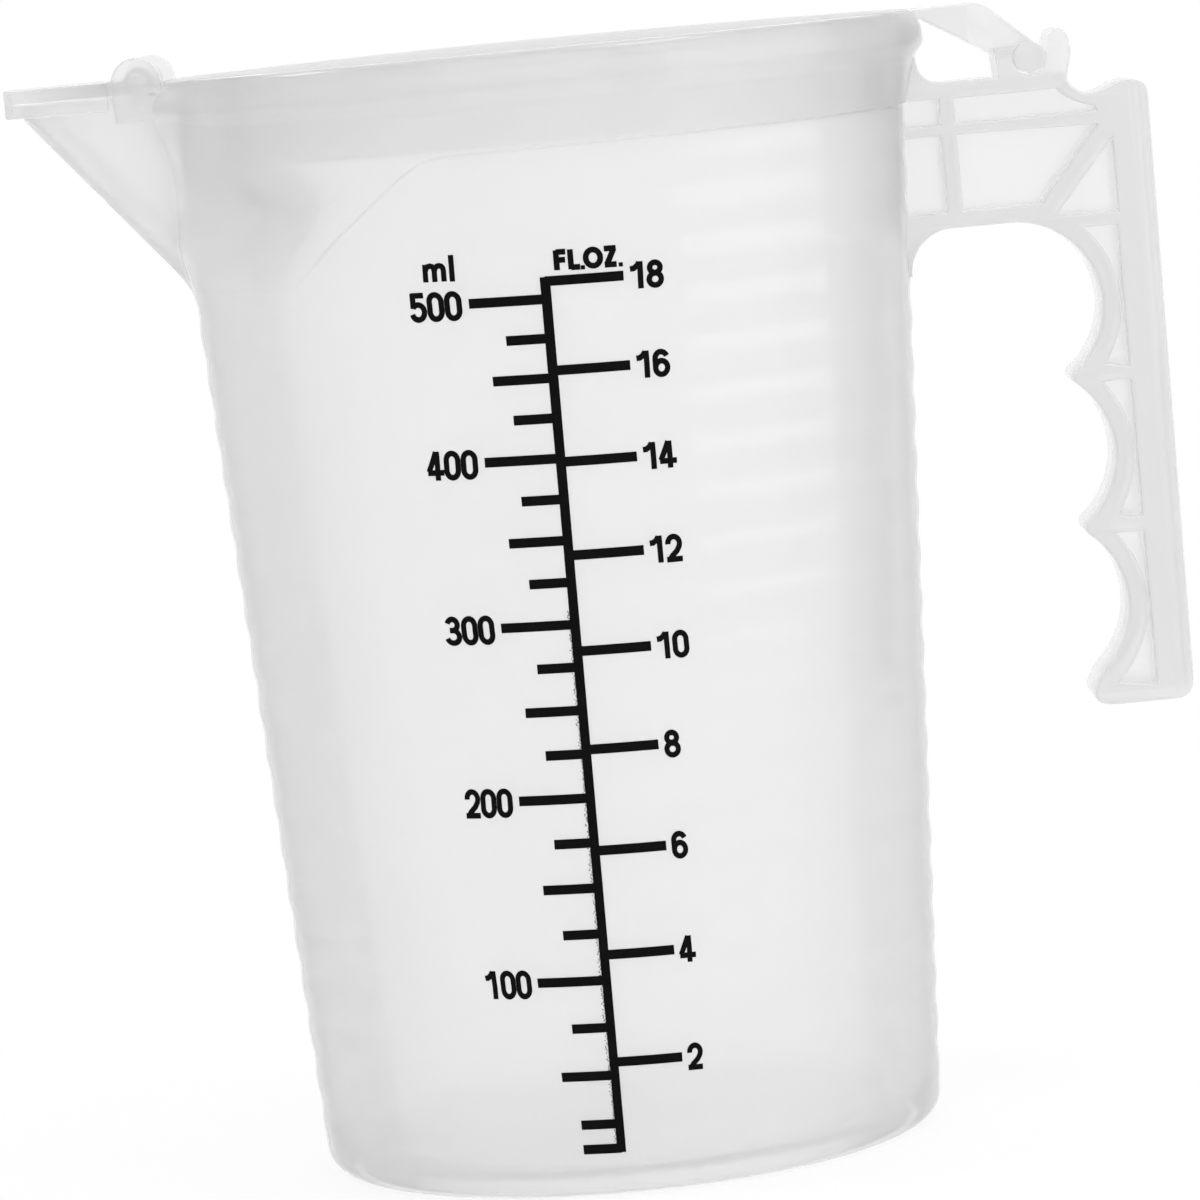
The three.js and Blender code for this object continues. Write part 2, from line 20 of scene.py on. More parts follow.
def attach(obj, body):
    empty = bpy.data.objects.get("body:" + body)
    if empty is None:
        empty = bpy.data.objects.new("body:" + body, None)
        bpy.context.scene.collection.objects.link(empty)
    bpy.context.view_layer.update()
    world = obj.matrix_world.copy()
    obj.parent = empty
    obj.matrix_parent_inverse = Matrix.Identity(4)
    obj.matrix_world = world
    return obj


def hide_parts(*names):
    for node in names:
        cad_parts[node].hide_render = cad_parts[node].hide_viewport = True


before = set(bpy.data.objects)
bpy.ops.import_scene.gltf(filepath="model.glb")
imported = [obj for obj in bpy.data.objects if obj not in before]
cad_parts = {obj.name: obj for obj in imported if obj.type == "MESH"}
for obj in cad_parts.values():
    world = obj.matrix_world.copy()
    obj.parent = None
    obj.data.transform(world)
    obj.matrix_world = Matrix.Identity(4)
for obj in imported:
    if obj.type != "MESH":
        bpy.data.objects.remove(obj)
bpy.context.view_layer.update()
MM = 0.001

# %% [markdown]
# ## The wall as a function
#
# The vessel is a cone with a collar, a rim bead and a V-shaped spout. All of these give one outer
# radius for each angle and height, so the whole wall can be one function and one grid, with soft
# fillets where the spout leaves the cone. Angles are counted from the spout's direction, and depths
# from the plane of the rim. The collar's lower edge is level round the jug and sweeps down to the
# foot of the spout.

# %% Cone and collar
HEIGHT, BASE_RADIUS, MOUTH_RADIUS, WALL = 135.0, 37.8, 45.0, 1.5
COLLAR_DEPTH, COLLAR_RAMP, COLLAR_STEP, COLLAR_WALL = 11.4, 5.0, 1.05, 1.6
EDGE_STEP, EDGE_HEIGHT, EDGE_END, EDGE_FADE = 0.35, 0.3, 44, 8
SWEEP_START, SWEEP_SLOPE, SWEEP_ROUND, SWEEP_SPAN, SWEEP_STEEPER = 72.0, 0.55, 4, 4, 1.2
SPOUT_DEPTH = 25.7


def cone(z):
    return BASE_RADIUS + (MOUTH_RADIUS - BASE_RADIUS) * z / HEIGHT


def ramp(value):
    return np.clip(value, 0, 1)


def from_spout(angles):
    return np.abs((angles + 180) % 360 - 180)


def step_depth(angles):
    """The lower edge of the collar: level round the jug, and swept down towards the spout."""
    past = SWEEP_START - from_spout(angles)
    drop = SWEEP_SLOPE * (past + np.sqrt(past ** 2 + SWEEP_ROUND)) / 2
    return np.minimum(COLLAR_DEPTH + drop, SPOUT_DEPTH)


def collar(angles, z):
    """How far the wall is stepped out above the collar's edge: a fine sharp edge, then a ramp."""
    above = step_depth(angles) - HEIGHT + z
    swept = ramp((step_depth(angles) - COLLAR_DEPTH) / SWEEP_SPAN)
    fading = ramp((from_spout(angles) - EDGE_END) / EDGE_FADE)
    edge = EDGE_STEP * fading * ramp(above / EDGE_HEIGHT)
    return edge + COLLAR_STEP * ramp(above / (COLLAR_RAMP - SWEEP_STEEPER * swept))


print("cone from", BASE_RADIUS, "to", MOUTH_RADIUS, "mm in radius over", HEIGHT, "mm")

# %% Outer wall
BEAD_REACH, BEAD_DEPTH, BEAD_END, BEAD_UNDER, BEAD_ROUND = 1.2, 3.65, 6.2, 2.55, 0.465
BESIDE_SPOUT, BESIDE_FADE, BEAD_FLARE = 34, 15, 1.1
THROAT_REACH, THROAT_END, THROAT_RISE, THROAT_POWER = 2.5, 13.5, 9.85, 1.6
RING_PITCH, RING_HEIGHT, RING_PLACE = 5.75, 0.1, 2.9
RING_START, RING_START_FADE, RING_STOP, RING_STOP_FADE = 4, 3, 13, 4


def bead(depth):
    """How far the rim bead stands out: a soft rise from below, and a rounded top."""
    under = 0.5 - 0.5 * np.cos(math.pi * ramp((BEAD_END - depth) / BEAD_UNDER))
    over = np.cos(BEAD_ROUND * math.pi * ramp((BEAD_DEPTH - depth) / BEAD_DEPTH))
    return BEAD_REACH * np.where(depth > BEAD_DEPTH, under, over)


def body_outer(angles, z):
    """Cone, collar, bead and fine rings. Beside the spout the bead flares out and runs into a throat."""
    depth = HEIGHT - z
    rings = RING_HEIGHT * np.cos(2 * math.pi * (z - RING_PLACE) / RING_PITCH)
    rings = rings * ramp((z - RING_START) / RING_START_FADE) * ramp((depth - RING_STOP) / RING_STOP_FADE)
    beside = ramp((BESIDE_SPOUT - from_spout(angles)) / BESIDE_FADE)
    rise = ramp((THROAT_END - depth) / THROAT_RISE) ** THROAT_POWER
    throat = THROAT_REACH * beside * rise * (depth > BEAD_DEPTH)
    bulge = np.maximum(bead(depth) * (1 + BEAD_FLARE * beside), throat)
    return cone(z) + collar(angles, z) + bulge - rings


print("rim bead", BEAD_REACH, "mm, throat", THROAT_REACH, "mm and rings", RING_HEIGHT, "mm high")

# %% Inner wall
CORNER_WALL, CORNER_ANGLE, CORNER_SPREAD = 3.2, 34, 26
CORNER_TOP, CORNER_TOP_FADE, CORNER_END, CORNER_END_FADE = 10.5, 5, 26, 9
SWEPT_WALL, SWEPT_ANGLE, SWEPT_FADE = 0.45, 70, 25
SWEPT_ABOVE, SWEPT_RISE, SWEPT_TOP, SWEPT_TOP_FADE = 3, 9, 4, 5
COLLAR_BELOW, COLLAR_FADE = 2, 4


def body_inner(angles, z):
    """The inner wall follows the outer one, and the plastic is thicker in the collar and by the spout."""
    depth = HEIGHT - z
    above = step_depth(angles) - depth
    thicker = (COLLAR_WALL - WALL) * ramp((COLLAR_DEPTH + COLLAR_BELOW - depth) / COLLAR_FADE)
    swept = SWEPT_WALL * ramp((above - SWEPT_ABOVE) / SWEPT_RISE)
    swept = swept * ramp((SWEPT_ANGLE - from_spout(angles)) / SWEPT_FADE)
    swept = swept * ramp((depth - SWEPT_TOP) / SWEPT_TOP_FADE)
    corner = CORNER_WALL * ramp(1 - np.abs(from_spout(angles) - CORNER_ANGLE) / CORNER_SPREAD)
    corner = corner * ramp((depth - CORNER_TOP) / CORNER_TOP_FADE)
    corner = corner * ramp((CORNER_END - depth) / CORNER_END_FADE)
    return cone(z) - WALL + collar(angles, z) - thicker - (swept + corner)


print("wall", WALL, "mm, and up to", WALL + CORNER_WALL, "mm in the corners by the spout")

# %% Spout
TIP_DEPTH, LIP_DEPTH, SPOUT_LENGTH, ROOT_HALF, TIP_HALF = 3.2, 1.5, 18.6, 15.5, 3.5
SPOUT_WALL, SPOUT_FILLET, KEEL_POWER, KEEL_INSET, SEARCH_BACK = 1.5, 1.6, 1.4, 1.5, 12.0
HALVINGS, LEAST_RISE, WIDEST_TURN = 40, 0.2, 1.0
LIP = HEIGHT - LIP_DEPTH
spout_root = cone(HEIGHT - SPOUT_DEPTH)
spout_tip = spout_root + SPOUT_LENGTH
spout_slope = (ROOT_HALF - TIP_HALF) / SPOUT_LENGTH
spout_side = math.cos(math.atan(spout_slope))


def spout_reach(angles, z, inset):
    """How far the spout's surface is from the axis, by halving the interval where it must lie."""
    turn = np.radians(from_spout(angles))
    start = np.full(np.broadcast(turn, z).shape, spout_root - SEARCH_BACK)
    near, far = start, np.full_like(start, spout_tip - inset)
    for _ in range(HALVINGS):
        x = (near + far) / 2
        along = (x - spout_root) / SPOUT_LENGTH
        keel = HEIGHT - SPOUT_DEPTH + (SPOUT_DEPTH - TIP_DEPTH) * along + KEEL_INSET * inset
        share = ramp((z - keel) / np.maximum(LIP - keel, LEAST_RISE))
        half = ROOT_HALF - spout_slope * (x - spout_root) - inset / spout_side
        outside = x * np.tan(np.minimum(turn, WIDEST_TURN)) >= half * share ** (1 / KEEL_POWER)
        far = np.where(outside, x, far)
        near = np.where(outside, near, x)
    return np.where(near > start, (near + far) / 2 / np.cos(np.minimum(turn, WIDEST_TURN)), 0)


print("spout from", round(spout_root, 2), "to", round(spout_tip, 2), "mm from the axis")

# %% [markdown]
# ## The vessel
#
# A wall that is turned, or nearly so, can be a grid of rows and columns round an axis. Each point then
# lies just where the function puts it, which no sculpting tool would give. The rows run from the
# middle of the base, out over the rounded foot, up the outer wall, over the rim, down into the seat
# of the lid and along the inner wall to the middle of the floor. The base is recessed inside a foot
# ring, as moulded jugs are, so that they don't rock. At the spout the rim gives way to a lower lip,
# so the rows at the top are blended between the two over the few degrees that the ears cover.

# %% Columns of the vessel, finer at the spout
FINE_SPAN, COARSE_COUNT, SPOUT_SPAN = 22, 141, 40
RIM_START, RIM_BLEND = 15.6, 2.6
fine = np.arange(-FINE_SPAN, FINE_SPAN, 1.0)
coarse = np.linspace(FINE_SPAN, 360 - FINE_SPAN, COARSE_COUNT)[:-1]
angles = np.concatenate([fine, coarse])
near_spout = from_spout(angles) < SPOUT_SPAN
rim_share = ramp((from_spout(angles) - RIM_START) / RIM_BLEND)


def soft_max(a, b, round_mm):
    return np.maximum(a, b) + np.maximum(round_mm - np.abs(a - b), 0) ** 2 / (4 * round_mm)


def outer_wall(z):
    wall = body_outer(angles, z)
    spout = spout_reach(angles, np.minimum(z, LIP), 0.0)
    return np.where(near_spout, soft_max(wall, spout, SPOUT_FILLET), wall)


def inner_wall(z):
    wall = body_inner(angles, z)
    spout = spout_reach(angles, np.minimum(z, LIP), SPOUT_WALL)
    return np.where(near_spout, soft_max(wall, spout, SPOUT_FILLET), wall)


print("columns of the vessel:", len(angles))

# %% Rows of the base and the outer wall
FOOT, RECESS, LIP_ROUND, RIM_ROUND = 3.0, 1.8, 0.3, 0.4
FOOT_ROWS, WALL_ROWS, COLLAR_ROWS, BEAD_ROWS = 9, 150, 34, 18


def level_row(radius, z, angles):
    """A row at one height."""
    return radius + 0 * angles, z + 0 * angles


base = [(r, RECESS) for r in (6.0, 18.0, 28.0, 32.4)]
base += [(32.9, RECESS - 0.15), (33.15, RECESS - 0.5), (33.3, 0.3), (33.5, 0.06), (33.8, 0.0)]
rows = [level_row(r, z, angles) for r, z in base]
for turn in np.linspace(0, math.pi / 2, FOOT_ROWS):
    z = FOOT * (1 - math.cos(turn))
    rows.append(level_row(cone(z) - FOOT * (1 - math.sin(turn)), z, angles))
step = HEIGHT - step_depth(angles)
for t in np.linspace(0, 1, WALL_ROWS)[1:]:
    z = FOOT + (step - FOOT) * t
    rows.append((outer_wall(z), z))
for t in np.linspace(0, 1, COLLAR_ROWS):
    z = step + EDGE_HEIGHT + (HEIGHT - BEAD_END - step - EDGE_HEIGHT) * t
    rows.append((outer_wall(z), z))
top_row = (LIP - LIP_ROUND) * (1 - rim_share) + (HEIGHT - RIM_ROUND) * rim_share
for t in np.linspace(0, 1, BEAD_ROWS)[1:]:
    z = HEIGHT - BEAD_END + (top_row - HEIGHT + BEAD_END) * t
    rows.append((outer_wall(z), z))
print("rows up to the rim:", len(rows))

# %% Rows of the rim, the inner wall and the floor
FLOOR, FLOOR_FILLET, FILLET_ROWS = 3.0, 2.6, 7
FINE_ROWS, FINE_END, COARSE_ROWS, COARSE_START = 42, 28, 22, 31
RIM_POINTS = [(46.42, 0.15), (46.2, 0.02), (45.98, 0.0), (45.78, 0.1), (45.7, 0.35),
              (45.42, 1.35), (45.28, 1.5), (44.3, 1.5), (44.06, 1.62)]
LIP_POINTS = [(0.02, 0.12), (0.1, 0.03), (0.25, 0.0), (0.5, 0.0), (0.7, 0.0),
              (0.82, 0.0), (0.92, 0.05), (0.98, 0.14), (1.0, 0.3)]
outer_edge = spout_reach(angles, LIP - LIP_ROUND, 0.0)
inner_edge = spout_reach(angles, LIP - LIP_ROUND, SPOUT_WALL)
for (rim_r, rim_depth), (across, lip_drop) in zip(RIM_POINTS, LIP_POINTS):
    lip_r = outer_edge + (inner_edge - outer_edge) * across
    r = lip_r * (1 - rim_share) + rim_r * rim_share
    z = (LIP - lip_drop) * (1 - rim_share) + (HEIGHT - rim_depth) * rim_share
    rows.append((r, z))
fine_heights = np.linspace(LIP - 0.5, HEIGHT - FINE_END, FINE_ROWS)
coarse_heights = np.linspace(HEIGHT - COARSE_START, FLOOR + FLOOR_FILLET, COARSE_ROWS)
for z in np.concatenate([fine_heights, coarse_heights]):
    rows.append(level_row(inner_wall(z + 0 * angles), z, angles))
for turn in np.linspace(0, math.pi / 2, FILLET_ROWS)[1:]:
    z = FLOOR + FLOOR_FILLET * (1 - math.sin(turn))
    wall = body_inner(angles, z + 0 * angles)
    rows.append(level_row(wall - FLOOR_FILLET * (1 - math.cos(turn)), z, angles))
rows += [level_row(r, FLOOR, angles) for r in (30.0, 18.0, 6.0)]
print("rows down to the floor:", len(rows))


# %% The vessel as a mesh
def make_object(name, mesh):
    piece = bpy.data.objects.new(name, mesh)
    bpy.context.scene.collection.objects.link(piece)
    return piece


def turned_grid(name, angles, rows):
    """A closed mesh from rows of (radius, height), with one value for each angle from the spout."""
    count = len(angles)
    cos, sin = np.cos(np.radians(angles)), np.sin(np.radians(angles))
    points = [np.stack([-r * cos, -r * sin, z], axis=1) for r, z in rows]
    poles = [(0, 0, np.mean(rows[0][1])), (0, 0, np.mean(rows[-1][1]))]
    verts = np.concatenate(points + [np.array(poles)]) * MM
    first, last = len(rows) * count, len(rows) * count + 1
    faces = []
    for i in range(count):
        j = (i + 1) % count
        faces.append((first, j, i))
        faces.append((last - 1 - count + i, last - 1 - count + j, last))
        for k in range(len(rows) - 1):
            a, b = k * count, (k + 1) * count
            faces.append((a + i, a + j, b + j, b + i))
    mesh = bpy.data.meshes.new(name)
    mesh.from_pydata(verts.tolist(), [], faces)
    return make_object(name, mesh)


jug = turned_grid("jug", angles, rows)
print("vessel:", len(jug.data.vertices), "points in", len(rows), "rows")

# %% [markdown]
# ## The handle
#
# The handle is an I-beam: a thin web with a flange all round it and cross ribs, so that it is stiff
# with little plastic. A flange or a rib is a flat outline with a thickness, and a 2D curve gives that
# in one step, with holes and rounded edges. So the flange with its ribs is one outline with holes,
# and the web is a thinner slab across them. The shapes are joined with booleans, because a moulding
# has no hidden walls where two shapes meet, and they would show in a see-through plastic. The back
# of the grip is well rounded for the palm, which an intersection with a rounded bar gives. Small
# slabs on top make the cradle in which the barrel of the lid snaps.

# %% Finger grooves
BEAM_TOP, BEAM_LOW, GRIP_END, GRIP_BACK, GRIP_LEAN = 9.2, 26.8, 86.4, 73.8, 0.6
SAG, GROOVE_CUT, TOE_DROP, FIRST_SHARE, TIP_ROUND, TIP_PULL = 5.05, 7.8, 3.2, 1.05, 1.3, 0.4
GROOVE_RIGHT = GRIP_BACK - GROOVE_CUT
TIP_X = GROOVE_RIGHT - SAG
pitch = (GRIP_END - TOE_DROP - BEAM_LOW) / (2 + FIRST_SHARE)
tips = [BEAM_LOW + pitch * (FIRST_SHARE + k) for k in range(3)]
first_radius = SAG + FIRST_SHARE * pitch - math.sqrt(2 * FIRST_SHARE * SAG * pitch)
groove_radius = ((pitch / 2) ** 2 + SAG ** 2) / (2 * SAG)
grooves = [(GROOVE_RIGHT - first_radius, BEAM_LOW + first_radius, first_radius)]
grooves += [(GROOVE_RIGHT - groove_radius, tips[k] + pitch / 2, groove_radius) for k in range(2)]
print("finger grooves every", round(pitch, 1), "mm")


# %% Ridges between the grooves
def at(x, depth):
    return (x, HEIGHT - depth)


def bend(start, corner, end, steps=8):
    """A quadratic curve from start to end, pulled towards a corner."""
    start, corner, end = np.array(start), np.array(corner), np.array(end)
    return [tuple((1 - t) ** 2 * start + 2 * t * (1 - t) * corner + t * t * end)
            for t in np.linspace(0, 1, steps + 1)]


def rounded_tip(k):
    """The rounded ridge between groove k and the next one."""
    x, middle, radius = grooves[k]
    next_x, next_middle, next_radius = grooves[k + 1]
    above, below = tips[k] - TIP_ROUND, tips[k] + TIP_ROUND
    start = at(x + math.sqrt(radius ** 2 - (above - middle) ** 2), above)
    end = at(next_x + math.sqrt(next_radius ** 2 - (below - next_middle) ** 2), below)
    return bend(start, at(TIP_X - TIP_PULL, tips[k]), end)


print("each ridge is a curve of", len(rounded_tip(0)), "points")

# %% Outline of the handle
SUNK, COLLAR_OUT, CORNER_ROUND, CORNER_FOOT, BEAM_FILLET = 1.4, 1.4, 5.2, 5.4, 3.4
TOE_FRONT, TOE_ROUND, TOE_BACK, BACK_ROUND = 2.2, 2.6, 2.8, 13.4
BACK_TOP = (71.5, 10.95)
THUMB_REST = [(BACK_TOP, (70.1, 10.95), (69.1, 11.5)), ((69.1, 11.5), (67.1, 12.6), (65.3, 11.7)),
              ((65.3, 11.7), (63.9, 10.9), (63.8, BEAM_TOP))]


def oval(x, y, wide, high, start=0.0, end=360.0, steps=36):
    """Points along an oval, from one angle to another."""
    return [(x + wide * math.cos(math.radians(a)), y + high * math.sin(math.radians(a)))
            for a in np.linspace(start, end, steps + 1)]


def arc(x, z, radius, start, end, steps=12):
    return oval(x, z, radius, radius, start, end, steps)


def wall_at(depth, inside):
    return at(cone(HEIGHT - depth) - inside, depth)


corner_x = cone(HEIGHT - BEAM_LOW - CORNER_ROUND) + CORNER_ROUND
collar_x = cone(HEIGHT - BEAM_TOP) + COLLAR_OUT
toe = GRIP_BACK - GRIP_LEAN
outline = [wall_at(BEAM_LOW + CORNER_FOOT, SUNK), at(corner_x - CORNER_ROUND, BEAM_LOW + CORNER_FOOT)]
outline += arc(corner_x, HEIGHT - BEAM_LOW - CORNER_ROUND, CORNER_ROUND, 180, 90)
x, middle, radius = grooves[0]
sweep = math.degrees(math.asin((tips[0] - TIP_ROUND - middle) / radius))
outline += arc(x, HEIGHT - middle, radius, 90, -sweep, 24)
outline += rounded_tip(0)[1:]
for k in (1, 2):
    x, middle, radius = grooves[k]
    sweep = math.degrees(math.asin((pitch / 2 - TIP_ROUND) / radius))
    outline += arc(x, HEIGHT - middle, radius, sweep, -sweep, 20)[1:]
    if k == 1:
        outline += rounded_tip(1)[1:]
outline += bend(outline[-1], at(TIP_X - TOE_FRONT, GRIP_END), at(TIP_X + TOE_ROUND, GRIP_END))[1:]
outline += bend(at(toe - TOE_ROUND, GRIP_END), at(toe, GRIP_END), at(toe, GRIP_END - TOE_BACK))
outline += bend(at(GRIP_BACK, BACK_ROUND), at(GRIP_BACK, BACK_TOP[1]), at(*BACK_TOP))
for start, pull, end in THUMB_REST:
    outline += bend(at(*start), at(*pull), at(*end))[1:]
beam_start = at(collar_x + BEAM_FILLET, BEAM_TOP)
outline += bend(beam_start, at(collar_x, BEAM_TOP), at(collar_x, BEAM_TOP - BEAM_FILLET))
outline += [wall_at(BEAM_TOP - BEAM_FILLET, SUNK)]
print("handle:", len(outline), "outline points")

# %% Pockets between the ribs
FLANGE, GRIP_FLANGE, RIB, SPINE, POCKET_IN = 2.0, 2.2, 1.6, GRIP_BACK - 4.9, 0.5
POST_X, POST_HALF, RIB_DEPTH, RIB_OVER, RIB_UNDER = 49.2, 0.95, 15.0, 0.75, 0.6
NECK_X, SILL_X, GRIP_TOP = 67.2, 59.7, 28.2
left, right = POST_X - POST_HALF, POST_X + POST_HALF
upper, lower = RIB_DEPTH - RIB_OVER, RIB_DEPTH + RIB_UNDER
ceiling, sill = BEAM_TOP + FLANGE, BEAM_LOW - FLANGE


def grip_front(grow, start, end):
    """The finger side of the grip between two depths, moved into the plastic by grow."""
    points = []
    for depth in np.linspace(start, end, 60):
        x, middle, radius = grooves[int(np.searchsorted(tips[:2], depth))]
        drop = min(abs(depth - middle), radius)
        points.append(at(x + math.sqrt((radius + grow) ** 2 - drop ** 2), depth))
    return points


def grip_pocket(start, end):
    right_side = SPINE - GRIP_LEAN / 2
    return grip_front(GRIP_FLANGE, start, end)[::3] + [at(right_side, end), at(right_side, start)]


under_thumb = bend(at(66.9, ceiling + 2.4), at(64.6, ceiling + 2), at(62.6, ceiling))
pockets = [
    [wall_at(upper, POCKET_IN), at(left, upper), at(left, ceiling), wall_at(ceiling, POCKET_IN)],
    [wall_at(sill, POCKET_IN), at(left, sill), at(left, lower), wall_at(lower, POCKET_IN)],
    [at(right, upper), at(NECK_X, upper), *under_thumb, at(right, ceiling)],
    [at(right, sill), at(SILL_X, sill), at(NECK_X, lower + 0.3), at(right, lower)],
    [at(61.2, 26.5), at(SPINE, 26.6), at(SPINE, 17.6)],
    grip_pocket(GRIP_TOP, tips[0] - RIB / 2),
    grip_pocket(tips[0] + RIB / 2, tips[1] - RIB / 2),
    grip_pocket(tips[1] + RIB / 2, GRIP_END - FLANGE),
]
print("handle:", len(pockets), "pockets")

# %% Flange with its ribs
HANDLE_HALF, HANDLE_EDGE, WELD = 6.2, 0.35, 0.002


def slab(name, outlines, low, high, edge=0.0, lying=False):
    """Flat outlines with a thickness and rounded edges. The first is the border, the rest are holes.
    Outlines are drawn in X and Z and span Y, or are drawn in X and Y and span Z if lying."""
    curve = bpy.data.curves.new(name, "CURVE")
    curve.dimensions = "2D"
    curve.fill_mode = "BOTH"
    curve.extrude = ((high - low) / 2 - edge) * MM
    curve.bevel_depth = edge * MM
    curve.bevel_resolution = 2
    curve.offset = -edge * MM
    for outline in outlines:
        spline = curve.splines.new("POLY")
        spline.points.add(len(outline) - 1)
        for point, (x, y) in zip(spline.points, outline):
            point.co = (x * MM, y * MM, 0, 1)
        spline.use_cyclic_u = True
    drawn = make_object(name, curve)
    seen = drawn.evaluated_get(bpy.context.evaluated_depsgraph_get())
    mesh = bpy.data.meshes.new_from_object(seen)
    bpy.data.objects.remove(drawn)
    middle = (low + high) / 2 * MM
    turn = Matrix.Identity(4) if lying else Matrix.Rotation(math.pi / 2, 4, "X")
    mesh.transform(turn)
    mesh.transform(Matrix.Translation((0, 0, middle) if lying else (0, middle, 0)))
    shape = bmesh.new()
    shape.from_mesh(mesh)
    bmesh.ops.remove_doubles(shape, verts=shape.verts, dist=WELD * MM)
    bmesh.ops.recalc_face_normals(shape, faces=shape.faces)
    shape.to_mesh(mesh)
    shape.free()
    return make_object(name, mesh)


handle = slab("handle", [outline, *pockets], -HANDLE_HALF, HANDLE_HALF, edge=HANDLE_EDGE)
print("flange and ribs:", len(handle.data.polygons), "faces")

# %% Web
WEB_HALF = 1.0


def join(target, how, tool):
    """Applies a boolean to the target and removes the tool."""
    boolean = target.modifiers.new("join", "BOOLEAN")
    boolean.operation = how
    boolean.solver = "MANIFOLD"
    boolean.object = tool
    made = target.evaluated_get(bpy.context.evaluated_depsgraph_get())
    mesh = bpy.data.meshes.new_from_object(made)
    target.modifiers.clear()
    target.data = mesh
    bpy.data.objects.remove(tool)


join(handle, "UNION", slab("web", [outline], -WEB_HALF, WEB_HALF))
print("handle with its web:", len(handle.data.polygons), "faces")

# %% Rounded and leaning back of the grip
PALM_ROUND, PALM_START, LEAN_START, LEAN_FROM = 2.7, 30, 13.6, 60
palm_plan = [(PALM_START, -HANDLE_HALF)]
palm_plan += arc(GRIP_BACK - PALM_ROUND, -HANDLE_HALF + PALM_ROUND, PALM_ROUND, -90, 0)
palm_plan += arc(GRIP_BACK - PALM_ROUND, HANDLE_HALF - PALM_ROUND, PALM_ROUND, 0, 90)
palm_plan += [(PALM_START, HANDLE_HALF)]
palm = slab("palm", [palm_plan], 0, HEIGHT + 10, lying=True)
lean = GRIP_LEAN / (GRIP_END - LEAN_START)
for vert in palm.data.vertices:
    if vert.co.x > LEAN_FROM * MM:
        vert.co.x -= lean * (HEIGHT * MM - LEAN_START * MM - vert.co.z)
join(handle, "INTERSECT", palm)
print("grip leans", round(math.degrees(math.atan(lean)), 2), "degrees")

# %% Cradle of the lid's hinge, and the join to the vessel
PIVOT_X, PIVOT_Z, CRADLE = 59.7, HEIGHT - 7.1, 2.1
JAW_IN, PRONG_IN, PRONG_RISE = 3.0, 3.7, 3.1


def rod(name, radius, x, z, low, high, sides=48):
    """A round rod along Y."""
    turns = np.linspace(0, 2 * math.pi, sides + 1)[:-1]
    ring = [(x + radius * math.cos(a), z + radius * math.sin(a)) for a in turns]
    return slab(name, [ring], low, high, edge=min(0.15, radius / 6))


def one_side(side, inner, outer):
    """A span in Y on one side of the middle, where side is -1 or 1."""
    return sorted((side * inner, side * outer))


jaw_x, hook_x = PIVOT_X - 4.1, PIVOT_X + 2.5
root, prong_top = HEIGHT - BEAM_TOP - 1, PIVOT_Z + PRONG_RISE
jaw = [(jaw_x + 0.2, root), (PIVOT_X, root), (PIVOT_X, PIVOT_Z - 1)]
jaw += [(PIVOT_X - 1.7, PIVOT_Z + 1.4), (jaw_x, PIVOT_Z + 1.4)]
prong = [(PIVOT_X, root), (hook_x + 1.7, root), (hook_x + 2.5, PIVOT_Z)]
prong += bend((hook_x + 2.5, PIVOT_Z), (hook_x + 2.5, prong_top), (hook_x + 1.2, prong_top))[1:]
prong += bend((hook_x + 1.2, prong_top), (hook_x - 0.2, prong_top), (hook_x - 0.2, PIVOT_Z + 1))[1:]
for side in (-1, 1):
    for name, shape, inner in (("jaw", jaw, JAW_IN), ("prong", prong, PRONG_IN)):
        join(handle, "UNION", slab(name, [shape], *one_side(side, inner, HANDLE_HALF), edge=0.2))
join(handle, "DIFFERENCE", rod("channel", CRADLE, PIVOT_X, PIVOT_Z, -8, 8))
join(jug, "UNION", handle)
print("jug with handle:", len(jug.data.polygons), "faces")

# %% [markdown]
# ## Ears beside the spout
#
# Two round-topped ears stand on the flanks of the spout and hold the stub pins of the spout cover.
# Each is a slab, with a block below the lip that ties it to the spout's side, and a blind hole. The
# rim also gets a notch at the handle, where the arm of the lid passes over it.

# %% Ears, pin holes and the notch for the arm of the lid
EAR_X, EAR_Z, EAR_HALF, EAR_IN, EAR_OUT, EAR_DROP = -47.2, HEIGHT + 0.2, 2.9, 13.2, 16.2, 4.5
TIE_IN, TIE_OUT, PIN_HOLE, HOLE_DEPTH = 3.2, 0.3, 1.0, 1.0
NOTCH_X, NOTCH_DEPTH, NOTCH_HALF, SHARP_ANGLE = 43.9, 1.8, 4.8, 32


def box(left, low, right, high):
    return [(left, low), (right, low), (right, high), (left, high)]


def smooth(piece):
    """Smooth shading, with edges kept sharp above the sharp angle."""
    piece.data.polygons.foreach_set("use_smooth", [True] * len(piece.data.polygons))
    piece.data.set_sharp_from_angle(angle=math.radians(SHARP_ANGLE))


ear_left, ear_right, ear_low = EAR_X - EAR_HALF, EAR_X + EAR_HALF, HEIGHT - EAR_DROP
ear = [(ear_left, ear_low), (ear_right, ear_low), *arc(EAR_X, EAR_Z, EAR_HALF, 0, 180, 20)]
tie = box(ear_left, ear_low, ear_right, LIP - 0.3)
for side in (-1, 1):
    join(jug, "UNION", slab("ear", [ear], *one_side(side, EAR_IN, EAR_OUT), edge=0.25))
    join(jug, "UNION", slab("tie", [tie], *one_side(side, EAR_IN - TIE_IN, EAR_OUT - TIE_OUT)))
    hole = one_side(side, EAR_IN - 0.5, EAR_IN + HOLE_DEPTH)
    join(jug, "DIFFERENCE", rod("pin_hole", PIN_HOLE, EAR_X, EAR_Z, *hole))
notch = box(NOTCH_X, HEIGHT - NOTCH_DEPTH, 60, HEIGHT + 2)
join(jug, "DIFFERENCE", slab("notch", [notch], -NOTCH_HALF, NOTCH_HALF))
smooth(jug)
